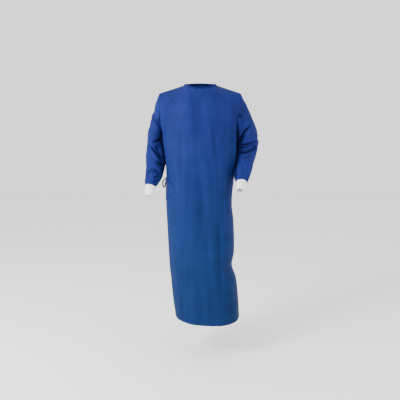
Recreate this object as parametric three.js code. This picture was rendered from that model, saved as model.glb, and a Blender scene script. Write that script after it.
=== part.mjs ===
// A long-sleeved surgical gown as it is worn, hollow, with knitted cuffs and ties.
// Millimetres, +Z up, the front faces -Y and the wearer's left is +X.
// The origin is the middle of the neck opening, level with its sides.
import * as THREE from "three";

// Cloth
const WALL = 2;
const SEAM_GAP = 0.4;
const SEAM_BEVEL = 2.6;
const MOST_BEVEL_SHARE = 0.4;
const SEAM_FADE_START_TURN = 4;
const SEAM_FADE_END_TURN = 24;
const TOP_FADE_START_RISE = 0.75;
const LAYER_LIFT = 6.4;
const LIFT_START_TURN = 306;
const LIFT_END_TURN = 296;
const TAB_LIFT = 3.3;

// Body
const UNDERARM_Z = -262;
const HEM_Z = -1330;
const SIDE_SEAM_Y = 12;
const HEM_DROP_TOP_Z = -1100;
const HEM_FRONT_DROP = 20;
const NECK_POINT_TURN = 52;
const UPPER_ROWS = 10;
const ARMHOLE_REACH_TURN = 47;
const SHOULDER_STEPS = 9;
const NECK_STEPS = 14;
const OUTER_STEPS = 18;
const TAB_STEPS = 10;
const TAB_ROWS = 4;

// How strongly the cloth holds its way at the underarm, the shoulder seam and the neckline, and how
// steeply it climbs into the last two
const UPPER_PULL = 230;
const SHOULDER_PULL = 400;
const SHOULDER_SLOPE = radians(20);
const NECK_PULL = 190;
const NECK_SLOPE = radians(60);

// Neckline seam, under the binding
const NECK_HALF_WIDTH = 92;
const NECK_POINT_Y = 2;
const NECK_POINT_Z = -7;
const NECK_FRONT_DEPTH = 88;
const NECK_BACK_DEPTH = 72;
const NECK_FRONT_DROP = 26;
const NECK_BACK_RISE = 8;
const BINDING_HEIGHT = 9;
const BINDING_WALL = 2.6;
const BINDING_RISE = 0.9;
const BINDING_LEAN = 0.45;
const BINDING_STEPS = 44;

// Cuffs
const CUFF_RIBS = 32;
const RIB_HEIGHT = 1.2;

// Ties
const TIE_WIDTH = 9;
const TIE_WALL = 2;
const KNOT_SIZE = 15;
const LOOP_STEPS = 14;
const TAIL_STEPS = 10;
const TAIL_CLEAR = 3;
const NECK_KNOT_DROP = 8;
const NECK_KNOT_OUT = 5;

// Sections of the body below the armholes. right and left are the edges at the wearer's right and
// left, front and back the fullest points, lean the share by which the front is fuller to the left,
// and power how square the section is: 2 is an ellipse.
const sections = [
  { z: -262, right: -220, left: 209, front: -140, back: 132, lean: 0, power: 2.0 },
  { z: -330, right: -211, left: 206, front: -146, back: 134, lean: 0, power: 2.08 },
  { z: -430, right: -199, left: 202, front: -142, back: 128, lean: 0, power: 2.2 },
  { z: -541, right: -194, left: 192, front: -134, back: 124, lean: 0, power: 2.3 },
  { z: -610, right: -196, left: 182, front: -134, back: 130, lean: 0, power: 2.35 },
  { z: -690, right: -195, left: 177, front: -136, back: 138, lean: 0.03, power: 2.4 },
  { z: -780, right: -190, left: 186, front: -138, back: 140, lean: 0.06, power: 2.4 },
  { z: -950, right: -181, left: 190, front: -142, back: 138, lean: 0.1, power: 2.4 },
  { z: -1035, right: -174, left: 177, front: -146, back: 136, lean: 0.12, power: 2.4 },
  { z: -1110, right: -165, left: 203, front: -150, back: 134, lean: 0.14, power: 2.4 },
  { z: -1220, right: -155, left: 216, front: -155, back: 132, lean: 0.16, power: 2.4 },
  { z: -1330, right: -140, left: 223, front: -160, back: 130, lean: 0.18, power: 2.4 },
];

// Heights of the rows of cloth from the hem to the underarm
const levels = [
  HEM_Z, -1235, -1155, -1090, -1035, -960, -870, -780, -705, -655, -605, -560, -520, -465, -400, -330,
  UNDERARM_Z,
];

// Armholes: points round each, from the underarm up the front, over the shoulder tip and down the
// back
const armholes = {
  right: [
    { x: -220, y: 12, z: -262 },
    { x: -224, y: -46, z: -216 },
    { x: -225, y: -56, z: -122 },
    { x: -229, y: 8, z: -51 },
    { x: -225, y: 72, z: -116 },
    { x: -223, y: 66, z: -214 },
  ],
  left: [
    { x: 209, y: 12, z: -262 },
    { x: 205, y: -48, z: -216 },
    { x: 205, y: -58, z: -122 },
    { x: 226, y: 8, z: -51 },
    { x: 213, y: 72, z: -116 },
    { x: 209, y: 66, z: -214 },
  ],
};
const SHOULDER_TIP = 3;

// Free edge of the outer back layer: its turn round the body at each height. Side seams are at 0 and
// 180 degrees, the middle of the front at 90, the middle of the back at 270.
const outerEdge = [
  { z: -1330, turn: 208 },
  { z: -1000, turn: 206 },
  { z: -780, turn: 200 },
  { z: -655, turn: 187 },
  { z: -520, turn: 187 },
  { z: -465, turn: 200 },
  { z: -400, turn: 214 },
  { z: -262, turn: 226 },
  { z: -130, turn: 245 },
  { z: 0, turn: 262 },
];

// Upper and lower edge of the tab that the waist tie draws round to the front
const tabEdges = [
  { turn: 133, top: -572, bottom: -596 },
  { turn: 150, top: -545, bottom: -628 },
  { turn: 166, top: -526, bottom: -652 },
  { turn: 192, top: -522, bottom: -656 },
];

// Free edge of the inner back layer
const innerEdge = [
  { z: -1330, turn: 290 },
  { z: -262, turn: 290 },
  { z: 0, turn: 280 },
];

// Free rings of the sleeves: the middle, half the width across and half the depth from front to back
const sleeves = {
  right: [
    { x: -258, y: 34, z: -300, across: 43, deep: 62 },
    { x: -259, y: 53, z: -352, across: 51.5, deep: 61 },
    { x: -259, y: 39, z: -410, across: 55, deep: 60 },
    { x: -257, y: 2, z: -462, across: 54, deep: 54 },
    { x: -265, y: -34, z: -514, across: 49, deep: 46 },
    { x: -277, y: -60, z: -554, across: 36, deep: 36 },
    { x: -280, y: -66, z: -568, across: 27, deep: 27 },
  ],
  left: [
    { x: 269, y: 34, z: -298, across: 62, deep: 62 },
    { x: 268, y: 54, z: -345, across: 67, deep: 58 },
    { x: 261.5, y: 33, z: -400, across: 56.5, deep: 57 },
    { x: 250.5, y: -19, z: -450, across: 49, deep: 52 },
    { x: 236, y: -60, z: -498, across: 47, deep: 45 },
    { x: 229, y: -92, z: -533, across: 36, deep: 34 },
    { x: 228, y: -102, z: -544, across: 27, deep: 27 },
  ],
};
const CAP_ROWS = 6;
const SLEEVE_ROWS = 13;
const CAP_START_PULL = 70;
const UNDERARM_START_PULL = 30;
const CAP_END_PULL = 150;
const UNDERARM_END_PULL = 44;
const CAP_FLARE = 0.75;
const UNDERARM_FLARE = 0.4;
const SIDE_FLARE = 0.35;
const CAP_FALL = 0.9;
const SLEEVE_FOLD_RADIUS = 58;

// Cuffs: half width at the sleeve, and the middle and half width at the hand
const CUFF_START_RADIUS = 26;
const cuffEnds = {
  right: { x: -287, y: -86, z: -622, radius: 21.5 },
  left: { x: 218, y: -140, z: -586, radius: 21.5 },
};

// Largest folds of the front, as lines in the front view; a depth below zero is a ridge
const frontFolds = [
  { x0: -152, z0: -62, x1: -200, z1: -128, half: 16, depth: 5 },
  { x0: 10, z0: -40, x1: -2, z1: -120, half: 22, depth: 4 },
  { x0: -84, z0: -290, x1: -84, z1: -480, half: 18, depth: -4 },
  { x0: 60, z0: -240, x1: 66, z1: -520, half: 12, depth: -6 },
  { x0: 76, z0: -300, x1: 90, z1: -600, half: 14, depth: 5 },
  { x0: 76, z0: -315, x1: 155, z1: -376, half: 15, depth: 5 },
  { x0: 26, z0: -430, x1: 24, z1: -560, half: 15, depth: -4 },
  { x0: -26, z0: -540, x1: 26, z1: -1010, half: 18, depth: 8 },
  { x0: 44, z0: -700, x1: 52, z1: -1000, half: 20, depth: -6 },
  { x0: 96, z0: -660, x1: 100, z1: -1240, half: 24, depth: 13 },
  { x0: -136, z0: -650, x1: -122, z1: -1180, half: 20, depth: -6 },
  { x0: -105, z0: -1190, x1: -100, z1: -1330, half: 12, depth: 6 },
  { x0: 172, z0: -1035, x1: 130, z1: -1035, half: 20, depth: 6 },
];

// Largest folds of the back, as lines seen through from the front
const backFolds = [
  { x0: -40, z0: -120, x1: -70, z1: -420, half: 26, depth: 6 },
  { x0: 60, z0: -150, x1: 50, z1: -520, half: 24, depth: 7 },
  { x0: 10, z0: -380, x1: 20, z1: -900, half: 28, depth: -4 },
  { x0: -80, z0: -560, x1: -60, z1: -1330, half: 26, depth: 10 },
  { x0: 90, z0: -600, x1: 110, z1: -1330, half: 26, depth: 11 },
  { x0: 40, z0: -800, x1: 34, z1: -1330, half: 22, depth: 6 },
  { x0: 140, z0: -330, x1: 40, z1: -500, half: 18, depth: 5 },
];

// Largest folds of the sleeves: how far down from the armhole, and the turn round the sleeve, which
// is 0 on the outside, 90 at the front and 180 on the inside
const sleeveFolds = {
  right: [
    { down0: 60, turn0: 20, down1: 110, turn1: 110, half: 16, depth: 7 },
    { down0: 130, turn0: 150, down1: 170, turn1: 70, half: 15, depth: 7 },
    { down0: 190, turn0: 10, down1: 250, turn1: 100, half: 16, depth: 8 },
    { down0: 215, turn0: 160, down1: 245, turn1: 90, half: 16, depth: 9 },
    { down0: 262, turn0: 340, down1: 285, turn1: 60, half: 12, depth: -5 },
    { down0: 300, turn0: 20, down1: 330, turn1: 120, half: 14, depth: 8 },
    { down0: 150, turn0: 230, down1: 260, turn1: 300, half: 18, depth: 7 },
    { down0: 345, turn0: 60, down1: 410, turn1: 70, half: 11, depth: 6 },
    { down0: 345, turn0: 200, down1: 410, turn1: 210, half: 11, depth: 6 },
    { down0: 355, turn0: 310, down1: 410, turn1: 305, half: 11, depth: 5 },
  ],
  left: [
    { down0: 62, turn0: 130, down1: 66, turn1: 70, half: 13, depth: 6 },
    { down0: 120, turn0: 60, down1: 175, turn1: 120, half: 15, depth: 8 },
    { down0: 210, turn0: 140, down1: 190, turn1: 40, half: 14, depth: 9 },
    { down0: 228, turn0: 130, down1: 222, turn1: 20, half: 12, depth: 7 },
    { down0: 160, turn0: 230, down1: 250, turn1: 290, half: 18, depth: 7 },
    { down0: 150, turn0: 330, down1: 230, turn1: 350, half: 16, depth: 6 },
    { down0: 350, turn0: 90, down1: 410, turn1: 95, half: 11, depth: 5 },
    { down0: 345, turn0: 220, down1: 410, turn1: 225, half: 11, depth: 6 },
  ],
};

// Way of a loop of the neck bow, from the knot
const neckLoop = [
  { across: 18, out: 0, up: 8 },
  { across: 36, out: 5, up: -3 },
  { across: 50, out: 14, up: -19 },
  { across: 37, out: 14, up: 4 },
  { across: 18, out: 11, up: 12 },
];

// Way of the tails of the neck bow, down the outer layer
const neckTails = {
  right: [
    { turn: 264, rise: 0.83 },
    { turn: 263, rise: 0.7 },
    { turn: 265, rise: 0.5 },
  ],
  left: [
    { turn: 277, rise: 0.83 },
    { turn: 279, rise: 0.68 },
    { turn: 278, rise: 0.4 },
  ],
};

// Ways of the loops of the waist bow, from the knot: the front one stands out beside the body
const WAIST_KNOT_TURN = 201;
const WAIST_KNOT_Z = -532;
const waistLoops = {
  front: [
    { back: -6, out: 10, up: -8 },
    { back: -8, out: 17, up: -25 },
    { back: -9, out: 16, up: -44 },
    { back: -11, out: 6, up: -57 },
    { back: -14, out: -2, up: -36 },
  ],
  back: [
    { back: 18, out: 1, up: 9 },
    { back: 32, out: 2, up: -2 },
    { back: 44, out: 4, up: -24 },
    { back: 34, out: -1, up: -8 },
    { back: 19, out: -5, up: 5 },
  ],
};

// Ways of the tails of the waist bow: where they leave the knot, then down the outer layer
const waistTails = {
  front: {
    start: { back: 2, out: -4, up: -14 },
    route: [
      { turn: 205, z: -620, out: 3 },
      { turn: 208, z: -690, out: 3 },
    ],
  },
  back: {
    start: { back: 13, out: 3, up: -15 },
    route: [
      { turn: 212, z: -590, out: 8 },
      { turn: 216, z: -735, out: 4 },
    ],
  },
};

const blue = new THREE.MeshStandardMaterial({ color: 0x2a4a91, roughness: 0.8, metalness: 0 });
const sleeveBlue = new THREE.MeshStandardMaterial({ color: 0x2c4d96, roughness: 0.8, metalness: 0 });
const darkBlue = new THREE.MeshStandardMaterial({ color: 0x1d2c66, roughness: 0.85, metalness: 0 });
const white = new THREE.MeshStandardMaterial({ color: 0xe4e4e6, roughness: 0.95, metalness: 0 });

function radians(degrees) {
  return THREE.MathUtils.degToRad(degrees);
}

function vector(row) {
  return new THREE.Vector3(row.x, row.y, row.z);
}

// A smooth curve through one column of a table
function sample(table, key, at, column) {
  const rising = [...table].sort((a, b) => a[key] - b[key]);
  const place = THREE.MathUtils.clamp(at, rising[0][key], rising[rising.length - 1][key]);
  let i = 0;
  while (i < rising.length - 2 && place > rising[i + 1][key]) i += 1;
  const slope = (k) => {
    const before = rising[Math.max(k - 1, 0)];
    const after = rising[Math.min(k + 1, rising.length - 1)];
    return (after[column] - before[column]) / (after[key] - before[key]);
  };
  const span = rising[i + 1][key] - rising[i][key];
  const share = (place - rising[i][key]) / span;
  return hermite(rising[i][column], slope(i) * span, rising[i + 1][column], slope(i + 1) * span, share);
}

function hermite(start, startPull, end, endPull, share) {
  const s2 = share * share;
  const s3 = s2 * share;
  return (
    start * (2 * s3 - 3 * s2 + 1) +
    startPull * (s3 - 2 * s2 + share) +
    end * (3 * s2 - 2 * s3) +
    endPull * (s3 - s2)
  );
}

function hermiteVector(start, startPull, end, endPull, share) {
  const along = (axis) => hermite(start[axis], startPull[axis], end[axis], endPull[axis], share);
  return new THREE.Vector3(along("x"), along("y"), along("z"));
}

function signedPower(value, power) {
  return Math.sign(value) * Math.abs(value) ** power;
}

// A point of the body below the armholes
function sectionPoint(turn, z) {
  const right = sample(sections, "z", z, "right");
  const left = sample(sections, "z", z, "left");
  const c = Math.cos(radians(turn));
  const s = Math.sin(radians(turn));
  const reach = s > 0 ? sample(sections, "z", z, "front") : sample(sections, "z", z, "back");
  const lean = s > 0 ? 1 + sample(sections, "z", z, "lean") * c : 1;
  const power = 2 / sample(sections, "z", z, "power");
  const dropShare = THREE.MathUtils.clamp((z - HEM_DROP_TOP_Z) / (HEM_Z - HEM_DROP_TOP_Z), 0, 1);
  return new THREE.Vector3(
    (left + right) / 2 + ((left - right) / 2) * signedPower(c, power),
    SIDE_SEAM_Y + (reach - SIDE_SEAM_Y) * lean * Math.abs(s) ** power,
    z - HEM_FRONT_DROP * dropShare * Math.max(s, 0),
  );
}

// The neckline seam: 0 is the wearer's left neck point, 90 the front, 180 the right, 270 the back
function neckline(around) {
  const s = Math.sin(radians(around));
  const depth = s > 0 ? NECK_FRONT_DEPTH : NECK_BACK_DEPTH;
  const drop = s > 0 ? -NECK_FRONT_DROP : NECK_BACK_RISE;
  return new THREE.Vector3(
    NECK_HALF_WIDTH * Math.cos(radians(around)),
    NECK_POINT_Y - depth * s,
    NECK_POINT_Z + drop * s * s,
  );
}

function neckAround(turn) {
  const share = ((turn % 180) - NECK_POINT_TURN) / (180 - 2 * NECK_POINT_TURN);
  return (turn >= 180 ? 180 : 0) + 180 * share;
}

// How far a turn is from the nearer side seam
function fromSide(turn) {
  const half = ((turn % 180) + 180) % 180;
  return Math.min(half, 180 - half);
}

function sideOf(turn) {
  return Math.cos(radians(turn)) > 0 ? "left" : "right";
}

// The upper edge of front and back: shoulder seam, neckline, shoulder seam
function topEdge(turn) {
  const away = fromSide(turn);
  if (away >= NECK_POINT_TURN) return neckline(neckAround(turn));
  const side = sideOf(turn);
  const tip = vector(armholes[side][SHOULDER_TIP]);
  const neckPoint = neckline(side === "left" ? 0 : 180);
  return tip.lerp(neckPoint, away / NECK_POINT_TURN);
}

// The way and the force with which the cloth runs into the upper edge
function topPull(turn, half) {
  const away = fromSide(turn);
  const inward = half === "front" ? 1 : -1;
  const neckShare = away > NECK_POINT_TURN ? Math.sin(radians(neckAround(turn) % 180)) : 0;
  const climb = (slope, pull) =>
    new THREE.Vector3(0, inward * Math.cos(slope), Math.sin(slope)).multiplyScalar(pull);
  return climb(SHOULDER_SLOPE, SHOULDER_PULL).lerp(climb(NECK_SLOPE, NECK_PULL), neckShare);
}

const armholeCurves = {
  right: new THREE.CatmullRomCurve3(armholes.right.map(vector), true, "centripetal"),
  left: new THREE.CatmullRomCurve3(armholes.left.map(vector), true, "centripetal"),
};

// A point of an armhole: rise is 0 at the underarm and 1 at the shoulder tip
function armholePoint(side, half, rise) {
  return armholeCurves[side].getPoint(half === "front" ? rise / 2 : (1 - rise / 2) % 1);
}

// A point above the underarm. rise is 0 there and 1 at the shoulder seam and neckline.
function upperPoint(turn, rise, half) {
  const plain = (at) =>
    hermiteVector(
      sectionPoint(at, UNDERARM_Z),
      new THREE.Vector3(0, 0, UPPER_PULL),
      topEdge(at),
      topPull(at, half),
      rise,
    );
  const side = sideOf(turn);
  const sideTurn = side === "left" ? 0 : 180;
  const edge = armholePoint(side, half, rise);
  const share = 1 - THREE.MathUtils.smoothstep(fromSide(turn), 0, ARMHOLE_REACH_TURN);
  return plain(turn).addScaledVector(edge.sub(plain(sideTurn)), share);
}

// Rows of cloth from the hem up
const rows = [
  ...levels.map((z) => ({ z, rise: 0 })),
  ...Array.from({ length: UPPER_ROWS }, (_, i) => {
    const rise = (i + 1) / UPPER_ROWS;
    return { z: UNDERARM_Z * (1 - rise), rise };
  }),
];

function bodyPoint(turn, row, half) {
  return row.rise > 0 ? upperPoint(turn, row.rise, half) : sectionPoint(turn, row.z);
}

// Normals of a grid of points
function gridNormals(grid, around) {
  const last = grid.length - 1;
  return grid.map((line, j) =>
    line.map((point, i) => {
      const count = line.length;
      const before = around ? line[(i + count - 1) % count] : line[Math.max(i - 1, 0)];
      const after = around ? line[(i + 1) % count] : line[Math.min(i + 1, count - 1)];
      const down = grid[Math.max(j - 1, 0)][i];
      const up = grid[Math.min(j + 1, last)][i];
      return after.clone().sub(before).cross(up.clone().sub(down)).normalize();
    }),
  );
}

// Level and away from the middle of the body
function outWay(point) {
  return new THREE.Vector3(point.x, point.y - NECK_POINT_Y, 0).normalize();
}

function foldDepth(folds, x, z) {
  let depth = 0;
  for (const fold of folds) {
    const dx = fold.x1 - fold.x0;
    const dz = fold.z1 - fold.z0;
    const along = ((x - fold.x0) * dx + (z - fold.z0) * dz) / (dx * dx + dz * dz);
    const share = THREE.MathUtils.clamp(along, 0, 1);
    const away = Math.hypot(x - fold.x0 - share * dx, z - fold.z0 - share * dz);
    depth += fold.depth * Math.exp(-((away / fold.half) ** 2));
  }
  return depth;
}

// Draws the folds into a panel, fading out at its seams, and lifts the outer layer
function shaped(grid, turns, folds, lift) {
  const normals = gridNormals(grid, false);
  return grid.map((line, j) =>
    line.map((point, i) => {
      const turn = turns[j][i];
      const away = fromSide(turn);
      const seamFade = THREE.MathUtils.smoothstep(away, SEAM_FADE_START_TURN, SEAM_FADE_END_TURN);
      const topFade = 1 - THREE.MathUtils.smoothstep(rows[j].rise, TOP_FADE_START_RISE, 1);
      const depth = foldDepth(folds, point.x, point.z) * seamFade * topFade;
      return point
        .clone()
        .addScaledVector(normals[j][i], -depth)
        .addScaledVector(outWay(point), lift(turn));
    }),
  );
}

// Moves the border of a panel in by half a seam's gap
function seamed(grid) {
  const half = SEAM_GAP / 2;
  const towards = (from, to) => to.clone().sub(from).normalize().multiplyScalar(half);
  const lines = grid.map((line) => line.map((point) => point.clone()));
  const end = grid[0].length - 1;
  const top = grid.length - 1;
  for (let j = 0; j <= top; j += 1) {
    lines[j][0].add(towards(grid[j][0], grid[j][1]));
    lines[j][end].add(towards(grid[j][end], grid[j][end - 1]));
  }
  for (let i = 0; i <= end; i += 1) lines[top][i].add(towards(grid[top][i], grid[top - 1][i]));
  return lines;
}

// The inner face of a wall, set back from the borders so that neighbours never meet inside a bend
function innerFace(outer, thickness, around) {
  const normals = gridNormals(outer, around);
  const inner = outer.map((line, j) =>
    line.map((point, i) => point.clone().addScaledVector(normals[j][i], -thickness)),
  );
  const setBack = (point, next) => {
    const step = next.clone().sub(point);
    point.addScaledVector(step, Math.min(SEAM_BEVEL / step.length(), MOST_BEVEL_SHARE));
  };
  const top = inner.length - 1;
  for (let i = 0; i < inner[0].length; i += 1) {
    setBack(inner[0][i], inner[1][i]);
    setBack(inner[top][i], inner[top - 1][i]);
  }
  if (!around) {
    const end = inner[0].length - 1;
    for (const line of inner) {
      setBack(line[0], line[1]);
      setBack(line[end], line[end - 1]);
    }
  }
  return inner;
}

// A closed wall between an outer and an inner grid of points
function closedWall(outer, inner, around) {
  const positions = [];
  const index = [];
  const count = outer[0].length;
  const lines = outer.length;
  for (const face of [outer, inner]) {
    for (const line of face) for (const point of line) positions.push(point.x, point.y, point.z);
  }
  const at = (face, j, i) => face * lines * count + j * count + (i % count);
  const quad = (a, b, c, d) => index.push(a, b, c, a, c, d);
  const spans = around ? count : count - 1;
  for (let j = 0; j < lines - 1; j += 1) {
    for (let i = 0; i < spans; i += 1) {
      quad(at(0, j, i), at(0, j, i + 1), at(0, j + 1, i + 1), at(0, j + 1, i));
      quad(at(1, j, i), at(1, j + 1, i), at(1, j + 1, i + 1), at(1, j, i + 1));
    }
  }
  for (let i = 0; i < spans; i += 1) {
    quad(at(1, 0, i), at(1, 0, i + 1), at(0, 0, i + 1), at(0, 0, i));
    quad(at(0, lines - 1, i), at(0, lines - 1, i + 1), at(1, lines - 1, i + 1), at(1, lines - 1, i));
  }
  if (!around) {
    const end = count - 1;
    for (let j = 0; j < lines - 1; j += 1) {
      quad(at(0, j, 0), at(0, j + 1, 0), at(1, j + 1, 0), at(1, j, 0));
      quad(at(1, j, end), at(1, j + 1, end), at(0, j + 1, end), at(0, j, end));
    }
  }
  const geometry = new THREE.BufferGeometry();
  geometry.setAttribute("position", new THREE.Float32BufferAttribute(positions, 3));
  geometry.setIndex(index);
  geometry.computeVertexNormals();
  return geometry;
}

function clothWall(outer, around = false, thickness = WALL) {
  return closedWall(outer, innerFace(outer, thickness, around), around);
}

function piece(name, geometry, material) {
  const mesh = new THREE.Mesh(geometry, material);
  mesh.name = name;
  return mesh;
}

// Turns from one place to another, in even steps
function steps(from, to, count) {
  return Array.from({ length: count + 1 }, (_, i) => from + ((to - from) * i) / count);
}

function panel(name, turnsAt, folds, half, lift) {
  const turns = rows.map((row) => turnsAt(row.z));
  const grid = rows.map((row, j) => turns[j].map((turn) => bodyPoint(turn, row, half)));
  return piece(name, clothWall(seamed(shaped(grid, turns, folds, lift))), blue);
}

function makeFront() {
  const turns = [
    ...steps(180, 180 - NECK_POINT_TURN, SHOULDER_STEPS),
    ...steps(180 - NECK_POINT_TURN, NECK_POINT_TURN, NECK_STEPS).slice(1),
    ...steps(NECK_POINT_TURN, 0, SHOULDER_STEPS).slice(1),
  ];
  return panel("front", () => turns, frontFolds, "front", () => 0);
}

function outerLift(turn) {
  return LAYER_LIFT * (1 - THREE.MathUtils.smoothstep(turn, LIFT_END_TURN, LIFT_START_TURN));
}

function makeBackLeft() {
  const neckTurn = 360 - NECK_POINT_TURN;
  const turnsAt = (z) => [
    ...steps(360, neckTurn, SHOULDER_STEPS),
    ...steps(neckTurn, sample(outerEdge, "z", z, "turn"), OUTER_STEPS).slice(1),
  ];
  return panel("back_left", turnsAt, backFolds, "back", outerLift);
}

function makeBackRight() {
  const neckTurn = 180 + NECK_POINT_TURN;
  const turnsAt = (z) => [
    ...steps(sample(innerEdge, "z", z, "turn"), neckTurn, SHOULDER_STEPS - 2),
    ...steps(neckTurn, 180, SHOULDER_STEPS).slice(1),
  ];
  return panel("back_right", turnsAt, backFolds, "back", () => 0);
}

// The binding stands on the neckline seam and its ends overlap at the back
function makeBinding() {
  const neckTurnOf = (around) => {
    const whole = (around + 360) % 360;
    const share = (whole % 180) / 180;
    return (whole >= 180 ? 180 : 0) + NECK_POINT_TURN + share * (180 - 2 * NECK_POINT_TURN);
  };
  const innerEnd = neckAround(sample(innerEdge, "z", 0, "turn"));
  const outerEnd = neckAround(sample(outerEdge, "z", 0, "turn")) - 360;
  const arounds = steps(innerEnd, outerEnd, BINDING_STEPS);
  const line = (height) =>
    arounds.map((around) => {
      const middle = neckline(around);
      const out = outWay(middle);
      const tilt = new THREE.Vector3(0, 0, BINDING_RISE).addScaledVector(out, -BINDING_LEAN).normalize();
      const lift = around < 0 ? outerLift(neckTurnOf(around)) : 0;
      return middle.addScaledVector(out, lift).addScaledVector(tilt, height);
    });
  const outer = [line(SEAM_GAP / 2), line(BINDING_HEIGHT / 2), line(BINDING_HEIGHT)];
  return piece("neck_binding", clothWall(outer, false, BINDING_WALL), darkBlue);
}

// The armhole as a ring: from the shoulder tip over the front to the underarm, and up the back
function armholeRing(side) {
  const front = steps(1, 0, UPPER_ROWS).map((rise) => armholePoint(side, "front", rise));
  const back = steps(0, 1, UPPER_ROWS).map((rise) => armholePoint(side, "back", rise));
  return [...front, ...back.slice(1, -1)];
}

function sleeveCurve(side) {
  return new THREE.CatmullRomCurve3(sleeves[side].map(vector), false, "centripetal");
}

function sleeveFrame(curve, t, outward) {
  const along = curve.getTangent(t);
  const across = new THREE.Vector3(outward, 0, 0);
  across.addScaledVector(along, -across.dot(along)).normalize();
  const forward = along.clone().cross(across).normalize();
  if (forward.y > 0) forward.negate();
  return { along, across, forward };
}

function sleeveRing(curve, table, t, outward, count) {
  const { across, forward } = sleeveFrame(curve, t, outward);
  const middle = curve.getPoint(t);
  const rowsOf = table.map((row, i) => ({ ...row, place: i }));
  const place = t * (table.length - 1);
  const wide = sample(rowsOf, "place", place, "across");
  const deep = sample(rowsOf, "place", place, "deep");
  return Array.from({ length: count }, (_, i) => {
    const turn = radians((360 * i) / count);
    return middle
      .clone()
      .addScaledVector(across, wide * Math.cos(turn))
      .addScaledVector(forward, deep * Math.sin(turn));
  });
}

function sleeveGrid(side) {
  const outward = side === "left" ? 1 : -1;
  const table = sleeves[side];
  const curve = sleeveCurve(side);
  const armhole = armholeRing(side);
  const count = armhole.length;
  const first = sleeveRing(curve, table, 0, outward, count);
  const { along } = sleeveFrame(curve, 0, outward);
  const grid = steps(0, 1, CAP_ROWS)
    .slice(0, -1)
    .map((share) =>
      armhole.map((point, i) => {
        const turn = radians((360 * i) / count);
        const top = (1 + Math.cos(turn)) / 2;
        const flare = THREE.MathUtils.lerp(UNDERARM_FLARE, CAP_FLARE, top);
        const startWay = new THREE.Vector3(outward * flare, -SIDE_FLARE * Math.sin(turn), -CAP_FALL);
        const startPull = THREE.MathUtils.lerp(UNDERARM_START_PULL, CAP_START_PULL, top);
        const endPull = THREE.MathUtils.lerp(UNDERARM_END_PULL, CAP_END_PULL, top);
        return hermiteVector(
          point,
          startWay.normalize().multiplyScalar(startPull),
          first[i],
          along.clone().multiplyScalar(endPull),
          share,
        );
      }),
    );
  const free = steps(0, 1, SLEEVE_ROWS).map((t) => sleeveRing(curve, table, t, outward, count));
  return [...grid, ...free];
}

// Draws the folds into a sleeve
function foldedSleeve(grid, folds) {
  const normals = gridNormals(grid, true);
  const quarter = Math.round(grid[0].length / 4);
  const last = grid.length - 1;
  const across = (turn) => radians(turn) * SLEEVE_FOLD_RADIUS;
  const asLines = folds.map(({ down0, turn0, down1, turn1, half, depth }) => ({
    x0: across(turn0),
    z0: down0,
    x1: across(turn1),
    z1: down1,
    half,
    depth,
  }));
  let down = 0;
  return grid.map((line, j) => {
    const above = grid[Math.max(j - 1, 0)];
    down += (line[0].distanceTo(above[0]) + line[quarter].distanceTo(above[quarter])) / 2;
    const startFade = THREE.MathUtils.smoothstep(j, 0, 2);
    const endFade = 1 - THREE.MathUtils.smoothstep(j, last - 1, last);
    return line.map((point, i) => {
      const turn = (360 * i) / line.length;
      const depths = [-360, 0, 360].map((shift) => foldDepth(asLines, across(turn + shift), down));
      const depth = depths.reduce((sum, value) => sum + value, 0);
      return point.clone().addScaledVector(normals[j][i], depth * startFade * endFade);
    });
  });
}

function makeSleeve(side) {
  const grid = foldedSleeve(sleeveGrid(side), sleeveFolds[side]);
  const half = SEAM_GAP / 2;
  grid[0] = grid[0].map((point, i) => {
    const way = grid[1][i].clone().sub(point).normalize();
    return way.multiplyScalar(half).add(point);
  });
  return piece(`sleeve_${side}`, outwardWall(grid), sleeveBlue);
}

// A tube's wall whose outer face is the given grid, whichever way round its rings run
function outwardWall(grid) {
  const middle = grid[1].reduce((sum, point) => sum.add(point), new THREE.Vector3());
  middle.divideScalar(grid[1].length);
  const normal = gridNormals(grid, true)[1][0];
  const runsOutward = normal.dot(grid[1][0].clone().sub(middle)) > 0;
  return clothWall(runsOutward ? grid : grid.map((line) => [...line].reverse()), true);
}

// A knitted cuff: ribs on the outside, plain inside
function makeCuff(side) {
  const outward = side === "left" ? 1 : -1;
  const curve = sleeveCurve(side);
  const first = sleeveFrame(curve, 1, outward);
  const start = curve.getPoint(1).addScaledVector(first.along, SEAM_GAP);
  const end = vector(cuffEnds[side]);
  const way = end.clone().sub(start).normalize();
  const count = CUFF_RIBS * 2;
  const ring = (share, wall) => {
    const along = first.along.clone().lerp(way, share).normalize();
    const across = first.across.clone().addScaledVector(along, -first.across.dot(along)).normalize();
    const forward = along.clone().cross(across);
    const middle = start.clone().lerp(end, share);
    const radius = THREE.MathUtils.lerp(CUFF_START_RADIUS, cuffEnds[side].radius, share) - wall;
    return Array.from({ length: count }, (_, i) => {
      const turn = (2 * Math.PI * i) / count;
      const reach = radius + (wall > 0 || i % 2 ? 0 : RIB_HEIGHT);
      return middle
        .clone()
        .addScaledVector(across, reach * Math.cos(turn))
        .addScaledVector(forward, reach * Math.sin(turn));
    });
  };
  const shares = [0, 0.5, 1];
  const rings = (wall) => shares.map((share) => ring(share, wall));
  return piece(`cuff_${side}`, closedWall(rings(0), rings(WALL), true), white);
}

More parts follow.
